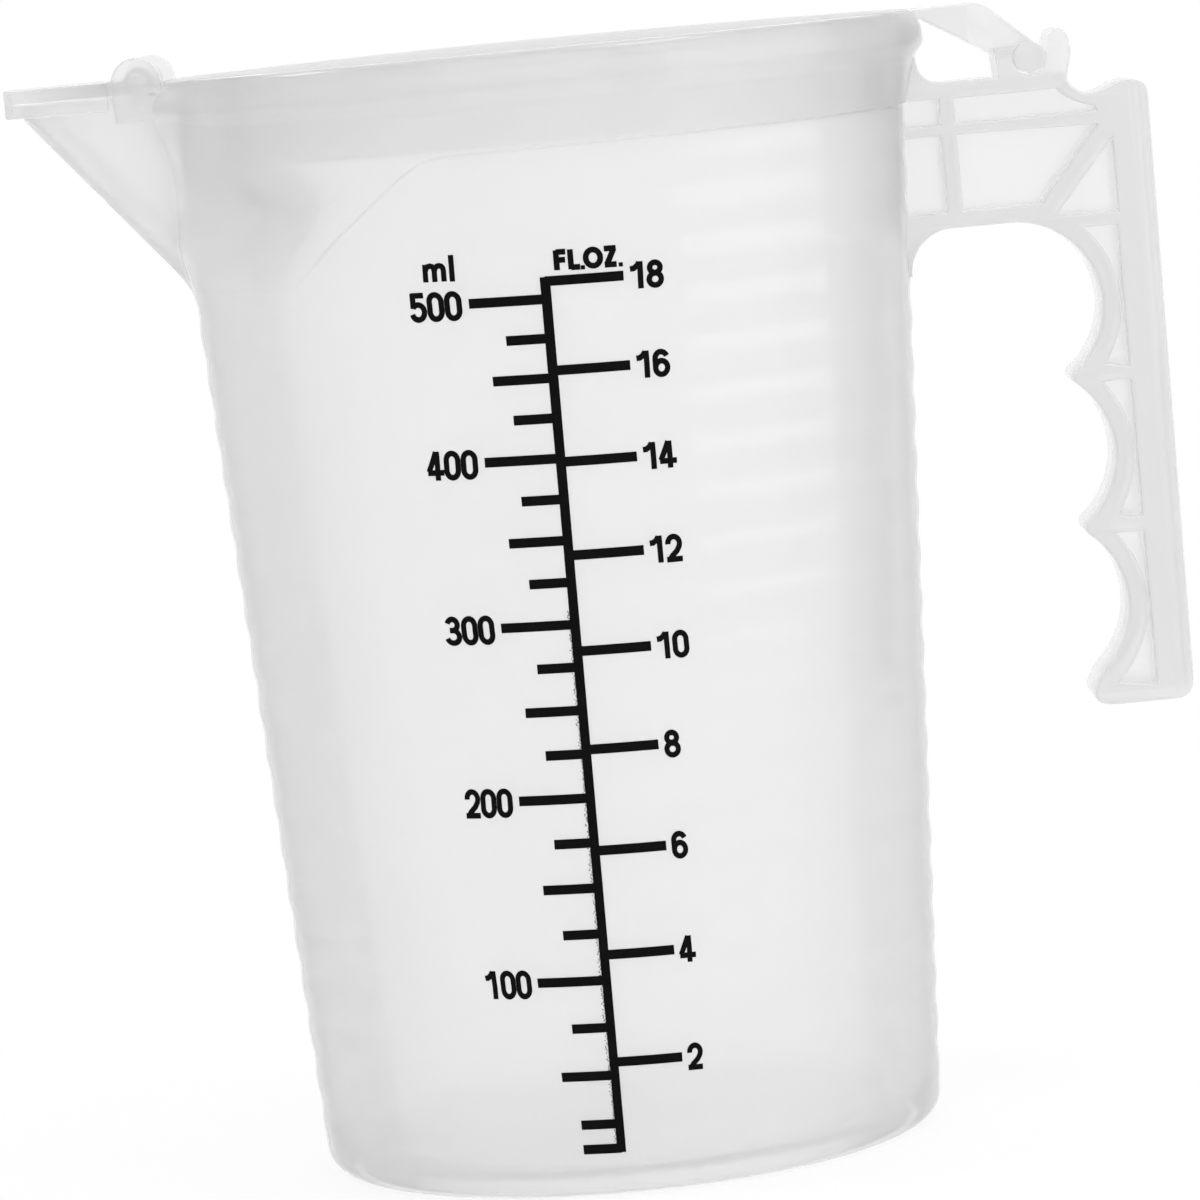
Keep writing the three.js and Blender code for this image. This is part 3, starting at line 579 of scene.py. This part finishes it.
print("jug:", len(jug.data.polygons), "faces")

# %% [markdown]
# ## The lid
#
# The lid is a slightly crowned plate that sits inside the rim, with a skirt that keeps it central
# and an arm that reaches over the rim to the hinge. The plate and skirt are turned, so they are a
# grid of rows. The skirt is open at the spout, where the liquid passes.

# %% Plate and skirt of the lid
LID_RADIUS, LID_THICK, CROWN = 45.0, 1.2, 0.6
SKIRT_OUT, SKIRT_IN, SKIRT_DEPTH, MOUTH_HALF, LID_FRONT = 42.4, 41.2, 10.8, 17, -44.6
round_angles = np.arange(0, 360, 2.5)


def crown(r):
    return HEIGHT + CROWN * (1 - (r / LID_RADIUS) ** 2)


skirt_low, lid_under = HEIGHT - SKIRT_DEPTH, HEIGHT - LID_THICK
profile = [(r, crown(r) - LID_THICK) for r in (8, 18, 28, 36, 40)]
profile += [(SKIRT_IN - 0.5, crown(41) - LID_THICK), (SKIRT_IN - 0.1, crown(41) - LID_THICK - 0.3)]
profile += [(SKIRT_IN, HEIGHT - 2), (SKIRT_IN + 0.15, skirt_low + 0.3), (SKIRT_IN + 0.4, skirt_low)]
profile += [(SKIRT_OUT - 0.3, skirt_low), (SKIRT_OUT - 0.05, skirt_low + 0.3), (SKIRT_OUT, HEIGHT - 2)]
profile += [(SKIRT_OUT + 0.1, lid_under - 0.25), (SKIRT_OUT + 0.4, lid_under)]
profile += [(LID_RADIUS - 0.35, lid_under), (LID_RADIUS - 0.08, lid_under + 0.12)]
profile += [(LID_RADIUS, lid_under + 0.4), (LID_RADIUS, HEIGHT - 0.4), (LID_RADIUS - 0.1, HEIGHT - 0.1)]
profile += [(r, crown(r)) for r in (LID_RADIUS - 0.4, 44, 42, 38, 32, 25, 18, 10, 4)]
lid_rows = [level_row(r, z, round_angles) for r, z in profile]
lid = turned_grid("lid_moulding", round_angles, lid_rows)
front = box(-60, skirt_low - 1, LID_FRONT, HEIGHT + 2)
mouth = box(-60, skirt_low - 1, 0, HEIGHT - 1.7)
join(lid, "DIFFERENCE", slab("front", [front], -50, 50))
join(lid, "DIFFERENCE", slab("mouth", [mouth], -MOUTH_HALF, MOUTH_HALF, edge=0.4))
print("lid plate and skirt:", len(lid.data.polygons), "faces")

# %% [markdown]
# The arm bends down to the hinge, where its upper face runs onto the barrel as a tangent. Between
# the prongs of the cradle it has to be narrow, and over the rim it is a wider strap. The strap is a
# side view and a plan that are cut with each other, which tapers its end.

# %% Arm, strap and barrel of the lid
BARREL, ARM_HALF, STRAP_HALF, ARM_BEND, ARM_THICK = 1.9, 2.7, 4.2, 54.4, 1.4
ARM_START, ARM_RIM, SHY = 41.5, 47.2, 0.05
TAPER_START, TAPER_END, TAPER_HALF = 52.6, 56, 2.6


def mirrored(half_plan):
    """A whole plan from the half on one side of the middle."""
    return half_plan + [(x, -y) for x, y in reversed(half_plan)]


reach = math.hypot(PIVOT_X - ARM_BEND, PIVOT_Z - HEIGHT)
slope = math.atan2(PIVOT_Z - HEIGHT, PIVOT_X - ARM_BEND) + math.asin(BARREL / reach)
run = math.sqrt(reach ** 2 - BARREL ** 2)
touch = (ARM_BEND + run * math.cos(slope), HEIGHT + run * math.sin(slope))
arm = [(ARM_START, HEIGHT - 1.1), (ARM_RIM, HEIGHT - ARM_THICK), (PIVOT_X - 4.2, PIVOT_Z + 0.6)]
arm += [(PIVOT_X - 1.6, PIVOT_Z - 0.6), (PIVOT_X, PIVOT_Z), touch]
arm += bend((ARM_BEND + 0.9, HEIGHT - 0.62), (ARM_BEND, HEIGHT), (ARM_BEND - 1.2, HEIGHT))
arm += [(ARM_START, HEIGHT)]
join(lid, "UNION", slab("arm", [arm], -ARM_HALF, ARM_HALF, edge=0.3))

side_view = [(ARM_START, HEIGHT - 1.05), (ARM_RIM, HEIGHT - ARM_THICK + SHY)]
side_view += [(PIVOT_X - 4.2, PIVOT_Z + 0.65), (PIVOT_X - 2, PIVOT_Z + 4.2)]
side_view += [(ARM_BEND + 0.9, HEIGHT - 0.7), (ARM_BEND - 1.2, HEIGHT - SHY), (ARM_START, HEIGHT - SHY)]
half_plan = [(41, -STRAP_HALF), (TAPER_START, -STRAP_HALF), (TAPER_END, -TAPER_HALF)]
strap = slab("strap", [side_view], -STRAP_HALF, STRAP_HALF, edge=0.3)
join(strap, "INTERSECT", slab("plan", [mirrored(half_plan)], HEIGHT - 15, HEIGHT + 5, lying=True))
join(lid, "UNION", strap)
join(lid, "UNION", rod("barrel", BARREL, PIVOT_X, PIVOT_Z, -HANDLE_HALF, HANDLE_HALF))
smooth(lid)
print("lid:", len(lid.data.polygons), "faces")

# %% [markdown]
# ## The spout cover
#
# The cover is a small roof over the spout: a plate with a skirt that drops outside the lip, and a
# knuckle with two stub pins at the back. Its plan follows the spout, so the sides come from the
# same slope as the spout's own. The knuckle is hollow, because a moulding avoids thick lumps.

# %% Plate and skirt of the spout cover
COVER_TOP, COVER_UNDER, COVER_LOW = HEIGHT + 0.5, HEIGHT - 1.2, HEIGHT - 3.0
COVER_BACK, COVER_NOSE, COVER_GAP, NOSE_ROUND = 51.0, spout_tip + 1.9, 1.5, 1.5


def cover_half(reach, inset):
    return ROOT_HALF - spout_slope * (reach - spout_root) + (COVER_GAP - inset) / spout_side


def cover_plan(inset):
    """The cover seen from above, with all its sides moved in by an inset."""
    back, front = COVER_BACK - 2 * inset, COVER_NOSE - inset
    shoulder = front - NOSE_ROUND
    wide = cover_half(shoulder, inset)
    turn = (-(shoulder - 0.6), cover_half(shoulder - 0.6, inset))
    nose = bend(turn, (-front, wide - 0.5), (-front, wide - 2))
    return mirrored([(-back, cover_half(back, inset)), *nose])


cover = slab("spout_cover_moulding", [cover_plan(0)], COVER_LOW, COVER_TOP, edge=0.3, lying=True)
hollow = slab("hollow", [cover_plan(1.0)], COVER_LOW - 2, COVER_UNDER, edge=0.2, lying=True)
join(cover, "DIFFERENCE", hollow)
print("cover plate:", len(cover.data.polygons), "faces")

# %% Tongue, knuckle and pins of the spout cover
TONGUE_HALF, KNUCKLE, KNUCKLE_HALF, CORE_WIDE, CORE_HALF = 11.2, 1.7, 10.8, 1.0, 9.4
STUB, STUB_IN, STUB_OUT = 0.85, 10.2, 14.0
tongue = [(-COVER_BACK - 1, TONGUE_HALF), (-COVER_BACK - 1, -TONGUE_HALF)]
tongue += [(EAR_X, -TONGUE_HALF), (EAR_X, TONGUE_HALF)]
join(cover, "UNION", slab("tongue", [tongue], COVER_UNDER, COVER_TOP - 0.05, lying=True))
join(cover, "UNION", rod("knuckle", KNUCKLE, EAR_X, EAR_Z, -KNUCKLE_HALF, KNUCKLE_HALF))
core = box(EAR_X - CORE_WIDE, HEIGHT - 3, EAR_X + CORE_WIDE, EAR_Z + 0.6)
join(cover, "DIFFERENCE", slab("core", [core], -CORE_HALF, CORE_HALF))
for side in (-1, 1):
    join(cover, "UNION", rod("pin", STUB, EAR_X, EAR_Z, *one_side(side, STUB_IN, STUB_OUT)))
smooth(cover)
print("spout cover:", len(cover.data.polygons), "faces")

# %% [markdown]
# ## The printed scale
#
# The scale is screen printed in black ink. Its heights are not typed in: they follow from how much
# the vessel holds up to a level, so the marks get closer together towards the wide top. The artwork
# is drawn flat, as ribbons along the middle of each pen stroke, joined into one thin layer, cut into
# small tiles so that it can bend, and then laid on the wall, a little askew as on the real jug.

# %% Levels of the scale
FLUID_OUNCE = 28.41


def level(millilitres):
    """The height at which the vessel holds a volume: a cone's volume is known, so halve the interval."""
    low, high = FLOOR, HEIGHT
    for _ in range(HALVINGS):
        z = (low + high) / 2
        a, b = cone(FLOOR) - WALL, cone(z) - WALL
        held = math.pi * (z - FLOOR) * (a * a + a * b + b * b) / 3 / 1000
        low, high = (z, high) if held < millilitres else (low, z)
    return z


print("500 ml stands at", round(level(500), 1), "mm")
print("18 fluid ounces stand at", round(level(18 * FLUID_OUNCE), 1), "mm")

# %% Pen strokes of the signs, each in a box of one by one
ZERO = oval(0.5, 0.7, 0.5, 0.3, 0, 180) + oval(0.5, 0.3, 0.5, 0.3, 180, 360) + [(1.0, 0.7)]
ARCH = [(0, 0.6), (0.05, 0.82), (0.16, 0.97), (0.28, 1.0), (0.4, 0.95), (0.48, 0.8), (0.5, 0.6)]
ARCH += [(0.5, -0.12)]
STROKES = {
    "0": [ZERO],
    "1": [[(0.67, -0.1), (0.67, 1.1)], [(-0.16, 0.79), (0.12, 0.8), (0.4, 0.9), (0.6, 1.06)]],
    "2": [oval(0.5, 0.7, 0.5, 0.3, 185, 0, 20) + [(0.95, 0.56), (0.72, 0.36), (0.3, 0.16), (0.06, -0.02)],
          [(-0.18, 0), (1.18, 0)]],
    "3": [oval(0.46, 0.765, 0.46, 0.235, 165, -75, 20), oval(0.44, 0.27, 0.56, 0.27, 80, -165, 24),
          [(0.2, 0.535), (0.58, 0.535)]],
    "4": [[(0.68, -0.1), (0.68, 1.1)], [(0.62, 1.08), (-0.1, 0.26)], [(-0.2, 0.22), (1.25, 0.22)]],
    "5": [[(0.02, 1), (1.05, 1)], [(0.12, 1.1), (0.05, 0.46)], oval(0.46, 0.31, 0.54, 0.31, 145, -165, 24)],
    "6": [oval(0.5, 0.3, 0.5, 0.3), [(0, 0.3), (0, 0.6)] + oval(0.5, 0.7, 0.5, 0.3, 175, 20, 16)],
    "8": [oval(0.5, 0.775, 0.43, 0.225), oval(0.5, 0.265, 0.5, 0.265)],
    "m": [[(0, -0.12), (0, 1.12)], ARCH, [(x + 0.5, y) for x, y in ARCH]],
    "l": [[(0, -0.1), (0, 1.1)]],
    "F": [[(0, -0.12), (0, 1.12)], [(0, 1), (1.2, 1)], [(0, 0.5), (1.1, 0.5)]],
    "L": [[(0, -0.12), (0, 1.12)], [(0, 0), (1.2, 0)]],
    "O": [oval(0.5, 0.5, 0.5, 0.5)],
    "Z": [[(-0.2, 1), (1.2, 1)], [(-0.25, 0), (1.15, 0)], [(0.95, 0.98), (0.02, 0.02)]],
    ".": [[(0, -0.12), (0, 0.12)]],
}
print("signs:", " ".join(STROKES))


# %% Ribbons along the strokes
def ribbon(points, width):
    """The border of a pen stroke along points: both sides, moved out along the mean normal."""
    line = np.array(points, float)
    steps = np.diff(line, axis=0)
    steps /= np.linalg.norm(steps, axis=1)[:, None]
    sides = np.stack([-steps[:, 1], steps[:, 0]], axis=1)
    before, after = np.vstack([sides[:1], sides]), np.vstack([sides, sides[-1:]])
    mean = before + after
    mean *= 2 / np.sum(mean ** 2, axis=1)[:, None]
    return [*map(tuple, line + mean * width / 2), *map(tuple, (line - mean * width / 2)[::-1])]


def letter(sign, left, low, width, height, pen):
    """The strokes of one sign, in a box. Closed strokes give a border and a hole."""
    made = []
    for points in STROKES[sign]:
        placed = [(left + pen / 2 + u * (width - pen), low + pen / 2 + v * (height - pen))
                  for u, v in points]
        if math.dist(placed[0], placed[-1]) < 0.02:
            both = ribbon(placed, pen)
            half = len(both) // 2
            rings = [both[:half - 1], both[half:-1]]
            made.append(sorted(rings, key=lambda ring: min(x for x, _ in ring)))
        else:
            made.append([ribbon(placed, pen)])
    return made


print("an 8 has", len(letter("8", 0, 0, 2, 3, 0.6)), "closed strokes")

# %% Marks and numbers
FIRST_MARK, LONG, MIDDLE, SHORT, MARK_WIDTH = 6.0, 9.07, 7.1, 5.1, 1.15
ML_DIGITS = {"width": 2.12, "height": 3.5, "pen": 0.68, "advance": 2.14}
OZ_DIGITS = {"width": 2.12, "height": 3.3, "pen": 0.67, "advance": 2.0}
ML_LEFT, ML_DROP, OZ_LEFT, OZ_DROP = -16.3, 1.9, 9.75, 1.72


def words(text, left, low, width, height, pen, advance):
    made = []
    for k, sign in enumerate(text):
        made += letter(sign, left + k * advance, low, width, height, pen)
    return made


def mark(left, right, z, width=MARK_WIDTH):
    return [box(left, z - width / 2, right, z + width / 2)]


shapes = [mark(-SHORT, 0, FIRST_MARK)]
for millilitres in range(25, 501, 25):
    reach = LONG if millilitres % 100 == 0 else MIDDLE if millilitres % 50 == 0 else SHORT
    shapes.append(mark(-reach, 0, level(millilitres)))
    if millilitres % 100 == 0:
        shapes += words(str(millilitres), ML_LEFT, level(millilitres) - ML_DROP, **ML_DIGITS)
for ounces in range(2, 19, 2):
    z = level(ounces * FLUID_OUNCE)
    shapes.append(mark(0, LONG, z))
    shapes += words(str(ounces), OZ_LEFT, z - OZ_DROP, **OZ_DIGITS)
print("marks and numbers:", len(shapes), "strokes")

# %% Units
UNIT_PEN, UNIT_LOW, OUNCE_PEN, DOT_PEN, OUNCE_LOW, OUNCE_HIGH = 0.64, 108.95, 0.68, 0.5, 109.43, 2.54
OUNCE_SIGNS = (("F", 1.15, 1.6), ("L", 2.78, 1.55), (".", 4.2, 0.5),
               ("O", 4.52, 2.35), ("Z", 6.88, 1.68), (".", 8.58, 0.5))
shapes += letter("m", -14.2, UNIT_LOW, 2.85, 2.3, UNIT_PEN)
shapes += letter("l", -11.0, UNIT_LOW, 0.66, 3.2, UNIT_PEN)
for sign, left, width in OUNCE_SIGNS:
    shapes += letter(sign, left, OUNCE_LOW, width, OUNCE_HIGH, DOT_PEN if sign == "." else OUNCE_PEN)
print("with the units:", len(shapes), "strokes")

# %% Artwork as one thin layer
INK, LINE_WIDTH, LINE_LOW, LINE_OVER = 0.03, 1.18, 5.5, 0.5
top = level(18 * FLUID_OUNCE) + LINE_OVER
long_line = mark(-LINE_WIDTH / 2, LINE_WIDTH / 2, (LINE_LOW + top) / 2, top - LINE_LOW)
ink_layer = slab("ink_layer", long_line, 0, INK, lying=True)
for shape in shapes:
    join(ink_layer, "UNION", slab("stroke", shape, 0, INK, lying=True))
relief_layer = make_object("relief_layer", ink_layer.data.copy())
print("artwork:", len(ink_layer.data.polygons), "faces")

# %% [markdown]
# The ink has bled a little along the lower half of the long line, on its left side. Small ovals at
# drawn places give that ragged edge. The chance is seeded, so that each run gives the same print.

# %% Ragged edge of the long line
BLEED, BLEED_LOW, BLEED_TOP, BLEED_PITCH = 0.32, 5.7, 70, 0.17
chance = np.random.default_rng(8)
specks = []
for z in np.arange(BLEED_LOW, BLEED_TOP, BLEED_PITCH):
    x = -LINE_WIDTH / 2 - BLEED * chance.random() ** 2
    specks.append(oval(x, z, 0.05 + 0.12 * chance.random(), 0.06, steps=6)[:-1])
join(ink_layer, "UNION", slab("specks", specks, 0, INK, lying=True))
print("specks:", len(specks))

# %% [markdown]
# The flat layer is then cut into tiles of about a millimetre and wrapped round the wall. Laid a
# hundredth of a millimetre off the near wall it is the print. The far wall carries the same artwork
# as raised letters from the mould, which show faintly through the plastic: there the layer starts
# inside the wall and is joined to it.

# %% The artwork laid on both walls
ARTWORK_RADIUS, ARTWORK_TOP, TURNED, LEANS, TILTS = 43.5, 107.3, 1.18, 0.014, 0.026
TILES = ((0, -17, 15, 1.0), (1, 5, 113, 1.15))
NEAR_WALL, PRINT_UNDER, PRINT_OVER = 90.0, 0.01, 0.04
FAR_WALL, RELIEF_UNDER, RELIEF_OVER = 272.9, -0.3, 0.25


def lay_on_wall(name, flat, turn, under, over):
    """Cuts the flat layer into tiles and wraps it round the wall, from under to over its surface."""
    shape = bmesh.new()
    shape.from_mesh(flat)
    for axis, low, high, pace in TILES:
        for place in np.arange(low, high, pace):
            point, normal = [0.0] * 3, [0.0] * 3
            point[axis], normal[axis] = place * MM, 1.0
            every = [*shape.verts, *shape.edges, *shape.faces]
            bmesh.ops.bisect_plane(shape, geom=every, dist=1e-7, plane_co=point, plane_no=normal)
    for vert in shape.verts:
        x, y, lift = vert.co / MM
        angle = turn - TURNED - LEANS * (ARTWORK_TOP - y) + math.degrees(x / ARTWORK_RADIUS)
        z = y - TILTS * x
        wall = float(body_outer(np.array([angle]), np.array([z]))[0])
        r = wall + under + (over - under) * lift / INK
        vert.co = Vector((-r * math.cos(math.radians(angle)), -r * math.sin(math.radians(angle)), z)) * MM
    mesh = bpy.data.meshes.new(name)
    shape.to_mesh(mesh)
    shape.free()
    return make_object(name, mesh)


scale = lay_on_wall("printed_scale", ink_layer.data, NEAR_WALL, PRINT_UNDER, PRINT_OVER)
relief = lay_on_wall("relief", relief_layer.data, FAR_WALL, RELIEF_UNDER, RELIEF_OVER)
join(jug, "UNION", relief)
smooth(jug)
for flat in (ink_layer, relief_layer):
    bpy.data.objects.remove(flat)
print("print:", len(scale.data.polygons), "faces, and jug with relief:", len(jug.data.polygons))

# %% [markdown]
# ## Colours and nodes
#
# Colours are written as the hex values that a picture editor shows, and turned into the linear
# values that shaders use. One function adds a node, with its settings and its links.

# %% Helpers for materials
def linear(code):
    channels = [int(code[i:i + 2], 16) / 255 for i in (1, 3, 5)]
    return [c / 12.92 if c <= 0.04045 else ((c + 0.055) / 1.055) ** 2.4 for c in channels] + [1.0]


def add(tree, kind, settings=None, **links):
    """Adds a node. Settings are its properties, and links are its inputs, with values or sockets. An
    input is given by its name, with _ for a space, or as i and its number where names repeat."""
    node = tree.nodes.new(kind)
    for name, value in (settings or {}).items():
        setattr(node, name, value)
    for name, value in links.items():
        numbered = name[0] == "i" and name[1:].isdigit()
        socket = node.inputs[int(name[1:]) if numbered else name.replace("_", " ")]
        if isinstance(value, bpy.types.NodeSocket):
            tree.links.new(value, socket)
        else:
            socket.default_value = value
    return node


def new_material(name):
    material = bpy.data.materials.new(name)
    material.use_nodes = True
    material.node_tree.nodes.clear()
    return material, material.node_tree


print("a mid grey is", round(linear("#808080")[0], 3), "in linear light")

# %% [markdown]
# ## Natural polypropylene
#
# Uncoloured polypropylene, injection moulded and about 1.5 mm thick. It is milky: light from behind
# comes through blurred, thick places and edges look greyer, and the satin skin has soft highlights.
# Its IOR is 1.49, and the Fresnel node has that value. The fine crystals inside scatter the light,
# which hides how a wall bends what is seen through it. Simulating the scatter is slow, so the light
# that goes through gets a lower IOR, which hides the bending as well. Part of the light passes
# straight through, which the alpha does, and an absorbing volume greys the thick places. The melt
# leaves blotches, seven on 100 mm. The real grain of the skin is too fine to show, so it is drawn
# coarser, with nine grains on 10 mm.

# %% Material of the mouldings
BLOTCH, GRAIN = 100 / 7, 10 / 9
plastic, tree = new_material("natural_polypropylene_moulded")
where = add(tree, "ShaderNodeTexCoord")
flow = add(tree, "ShaderNodeTexNoise", Vector=where.outputs["Object"], Scale=1 / (BLOTCH * MM), Detail=2.0)
skin_grain = add(tree, "ShaderNodeTexNoise", Vector=where.outputs["Object"], Scale=1 / (GRAIN * MM),
                 Detail=2.0)
tone = add(tree, "ShaderNodeMix", {"data_type": "RGBA"}, i0=flow.outputs["Fac"],
           i6=linear("#F9F9F9"), i7=linear("#FDFDFD"))
gloss = add(tree, "ShaderNodeMapRange", i0=skin_grain.outputs["Fac"], i3=0.29, i4=0.37)
shine = add(tree, "ShaderNodeFresnel", IOR=1.49)
side = add(tree, "ShaderNodeNewGeometry")
outside = add(tree, "ShaderNodeMix", {"data_type": "FLOAT"}, i0=side.outputs["Backfacing"],
              i2=shine.outputs[0], i3=0.04)
milk = add(tree, "ShaderNodeMapRange", i0=outside.outputs[0], i1=0.2, i2=0.8, i3=0.62, i4=0.74)
skin = add(tree, "ShaderNodeBump", Strength=0.1, Distance=0.1 * MM, Height=flow.outputs["Fac"])
surface = add(tree, "ShaderNodeBsdfPrincipled", Base_Color=tone.outputs[2], Roughness=gloss.outputs[0],
              IOR=1.25, Normal=skin.outputs[0], Coat_Normal=skin.outputs[0], Transmission_Weight=0.76,
              Coat_Weight=1.0, Coat_Roughness=0.05, Alpha=milk.outputs[0])
inside = add(tree, "ShaderNodeVolumeAbsorption", Color=linear("#808080"), Density=26.0)
add(tree, "ShaderNodeOutputMaterial", Surface=surface.outputs[0], Volume=inside.outputs[0])

for piece, body, nodes in ((jug, "jug", ("vessel", "handle")), (lid, "lid", ("lid",)),
                           (cover, "spout_cover", ("spout_cover",))):
    piece.data.materials.clear()
    piece.data.materials.append(plastic)
    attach(piece, body)
    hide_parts(*nodes)
print("plastic:", len(plastic.node_tree.nodes), "nodes on 3 mouldings")

# %% [markdown]
# ## Black screen ink
#
# Solvent ink for polypropylene, pushed through a screen and dried to a thin, dense, nearly matt
# layer. A fine noise makes its black a little uneven, as a real print is. The real unevenness is too
# fine to show, so it is drawn as coarse as the grain of the plastic.

# %% Material of the print
ink, tree = new_material("black_screen_ink")
where = add(tree, "ShaderNodeTexCoord")
grain = add(tree, "ShaderNodeTexNoise", Vector=where.outputs["Object"], Scale=1 / (GRAIN * MM), Detail=3.0)
tone = add(tree, "ShaderNodeMix", {"data_type": "RGBA"}, i0=grain.outputs["Fac"],
           i6=linear("#040404"), i7=linear("#0E0E0E"))
film = add(tree, "ShaderNodeBsdfPrincipled", Base_Color=tone.outputs[2], Roughness=0.5, IOR=1.5,
           Specular_IOR_Level=0.05)
add(tree, "ShaderNodeOutputMaterial", Surface=film.outputs[0])
scale.data.materials.append(ink)
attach(scale, "jug")
print("ink:", len(ink.node_tree.nodes), "nodes")

# %% [markdown]
# ## Light, floor and camera
#
# A white sweep and soft light all round, as for a catalogue picture. What the camera sees directly,
# in a reflection or through the plastic is pure white, and what lights the plastic is a little
# dimmer, so that the milky skin reads as grey against the white. The paper floor keeps the jug's
# shadow near its foot and fades to white around it.

# %% World
world = bpy.data.worlds.new("studio")
bpy.context.scene.world = world
world.use_nodes = True
tree = world.node_tree
tree.nodes.clear()
path = add(tree, "ShaderNodeLightPath")
seen = add(tree, "ShaderNodeMath", {"operation": "MAXIMUM"}, i0=path.outputs["Is Camera Ray"],
           i1=path.outputs["Is Glossy Ray"])
seen = add(tree, "ShaderNodeMath", {"operation": "MAXIMUM"}, i0=seen.outputs[0],
           i1=path.outputs["Is Transmission Ray"])
soft = add(tree, "ShaderNodeBackground", Color=linear("#FFFFFF"), Strength=0.72)
white = add(tree, "ShaderNodeBackground", Color=linear("#FFFFFF"), Strength=1.0)
sky = add(tree, "ShaderNodeMixShader", i0=seen.outputs[0], i1=soft.outputs[0], i2=white.outputs[0])
add(tree, "ShaderNodeOutputWorld", Surface=sky.outputs[0])
print("world:", len(tree.nodes), "nodes")

# %% Paper floor
SHADE_NEAR, SHADE_FAR, SHADE_WHITE, PAPER_HALF = 0.05, 0.14, 0.84, 3
floor_paint, tree = new_material("white_paper_sweep")
path = add(tree, "ShaderNodeLightPath")
where = add(tree, "ShaderNodeTexCoord")
away = add(tree, "ShaderNodeVectorMath", {"operation": "LENGTH"}, i0=where.outputs["Object"])
fade = add(tree, "ShaderNodeMapRange", i0=away.outputs["Value"], i1=SHADE_NEAR, i2=SHADE_FAR,
           i3=SHADE_WHITE, i4=1.0)
direct = add(tree, "ShaderNodeMath", {"operation": "MULTIPLY"}, i0=path.outputs["Is Camera Ray"],
             i1=fade.outputs[0])
through = add(tree, "ShaderNodeMath", {"operation": "MAXIMUM"}, i0=path.outputs["Is Glossy Ray"],
              i1=path.outputs["Is Transmission Ray"])
part = add(tree, "ShaderNodeMath", {"operation": "MAXIMUM"}, i0=direct.outputs[0], i1=through.outputs[0])
paper = add(tree, "ShaderNodeBsdfDiffuse", Color=linear("#F5F5F5"))
white = add(tree, "ShaderNodeEmission", Color=linear("#FFFFFF"), Strength=1.0)
mixed = add(tree, "ShaderNodeMixShader", i0=part.outputs[0], i1=paper.outputs[0], i2=white.outputs[0])
add(tree, "ShaderNodeOutputMaterial", Surface=mixed.outputs[0])
mesh = bpy.data.meshes.new("paper_floor")
corners = box(-PAPER_HALF, -PAPER_HALF, PAPER_HALF, PAPER_HALF)
mesh.from_pydata([(x, y, 0) for x, y in corners], [], [(0, 1, 2, 3)])
floor = make_object("paper_floor", mesh)
floor.data.materials.append(floor_paint)
print("floor:", 2 * PAPER_HALF, "m wide")


# %% Lamps
def softbox(name, place, aim, size, power):
    lamp = bpy.data.lights.new(name, "AREA")
    lamp.shape = "RECTANGLE"
    lamp.size, lamp.size_y = size
    lamp.energy = power
    holder = make_object(name, lamp)
    holder.location = place
    holder.rotation_euler = (Vector(aim) - Vector(place)).to_track_quat("-Z", "Y").to_euler()


softbox("left_box", (-0.70, 0.06, 0.85), (0, 0, 0.12), (0.25, 0.25), 1.60)
softbox("right_box", (0.43, -0.29, 0.99), (0, 0, 0.12), (0.45, 0.35), 2.00)
softbox("side_box", (1.0, -0.4, 0.4), (0, 0, 0.07), (1.2, 1.2), 4.40)
softbox("front_box", (-0.1, -1.1, 0.6), (0, 0, 0.07), (1.0, 0.8), 2.00)
softbox("back_box", (0.0, 0.85, 0.75), (0, 0, 0.13), (0.9, 0.4), 1.76)
print("lamps:", len(bpy.data.lights))

# %% [markdown]
# The camera stands where the photograph's did, a long way off with a long lens. It looks down by a
# few degrees, and it is rolled, so the jug leans in the picture.

# %% Camera
SENSOR, FRAME_PIXELS, FOCAL_PIXELS = 36.0, 1200, 6208.1
PITCH_DOWN, ROLL, CAMERA_PLACE = 5.745, -5.483, (1.90, -756.8, 142.9)
lens = bpy.data.cameras.new("camera")
lens.sensor_width = SENSOR
lens.lens = FOCAL_PIXELS / FRAME_PIXELS * SENSOR
camera = make_object("camera", lens)
camera.location = [v * MM for v in CAMERA_PLACE]
camera.rotation_mode = "QUATERNION"
pitched = Quaternion((1, 0, 0), math.radians(90 - PITCH_DOWN))
rolled = Quaternion((0, 0, 1), math.radians(ROLL))
camera.rotation_quaternion = pitched @ rolled
bpy.context.scene.camera = camera
bpy.context.scene.view_settings.view_transform = "Standard"
print("lens:", round(lens.lens, 1), "mm")
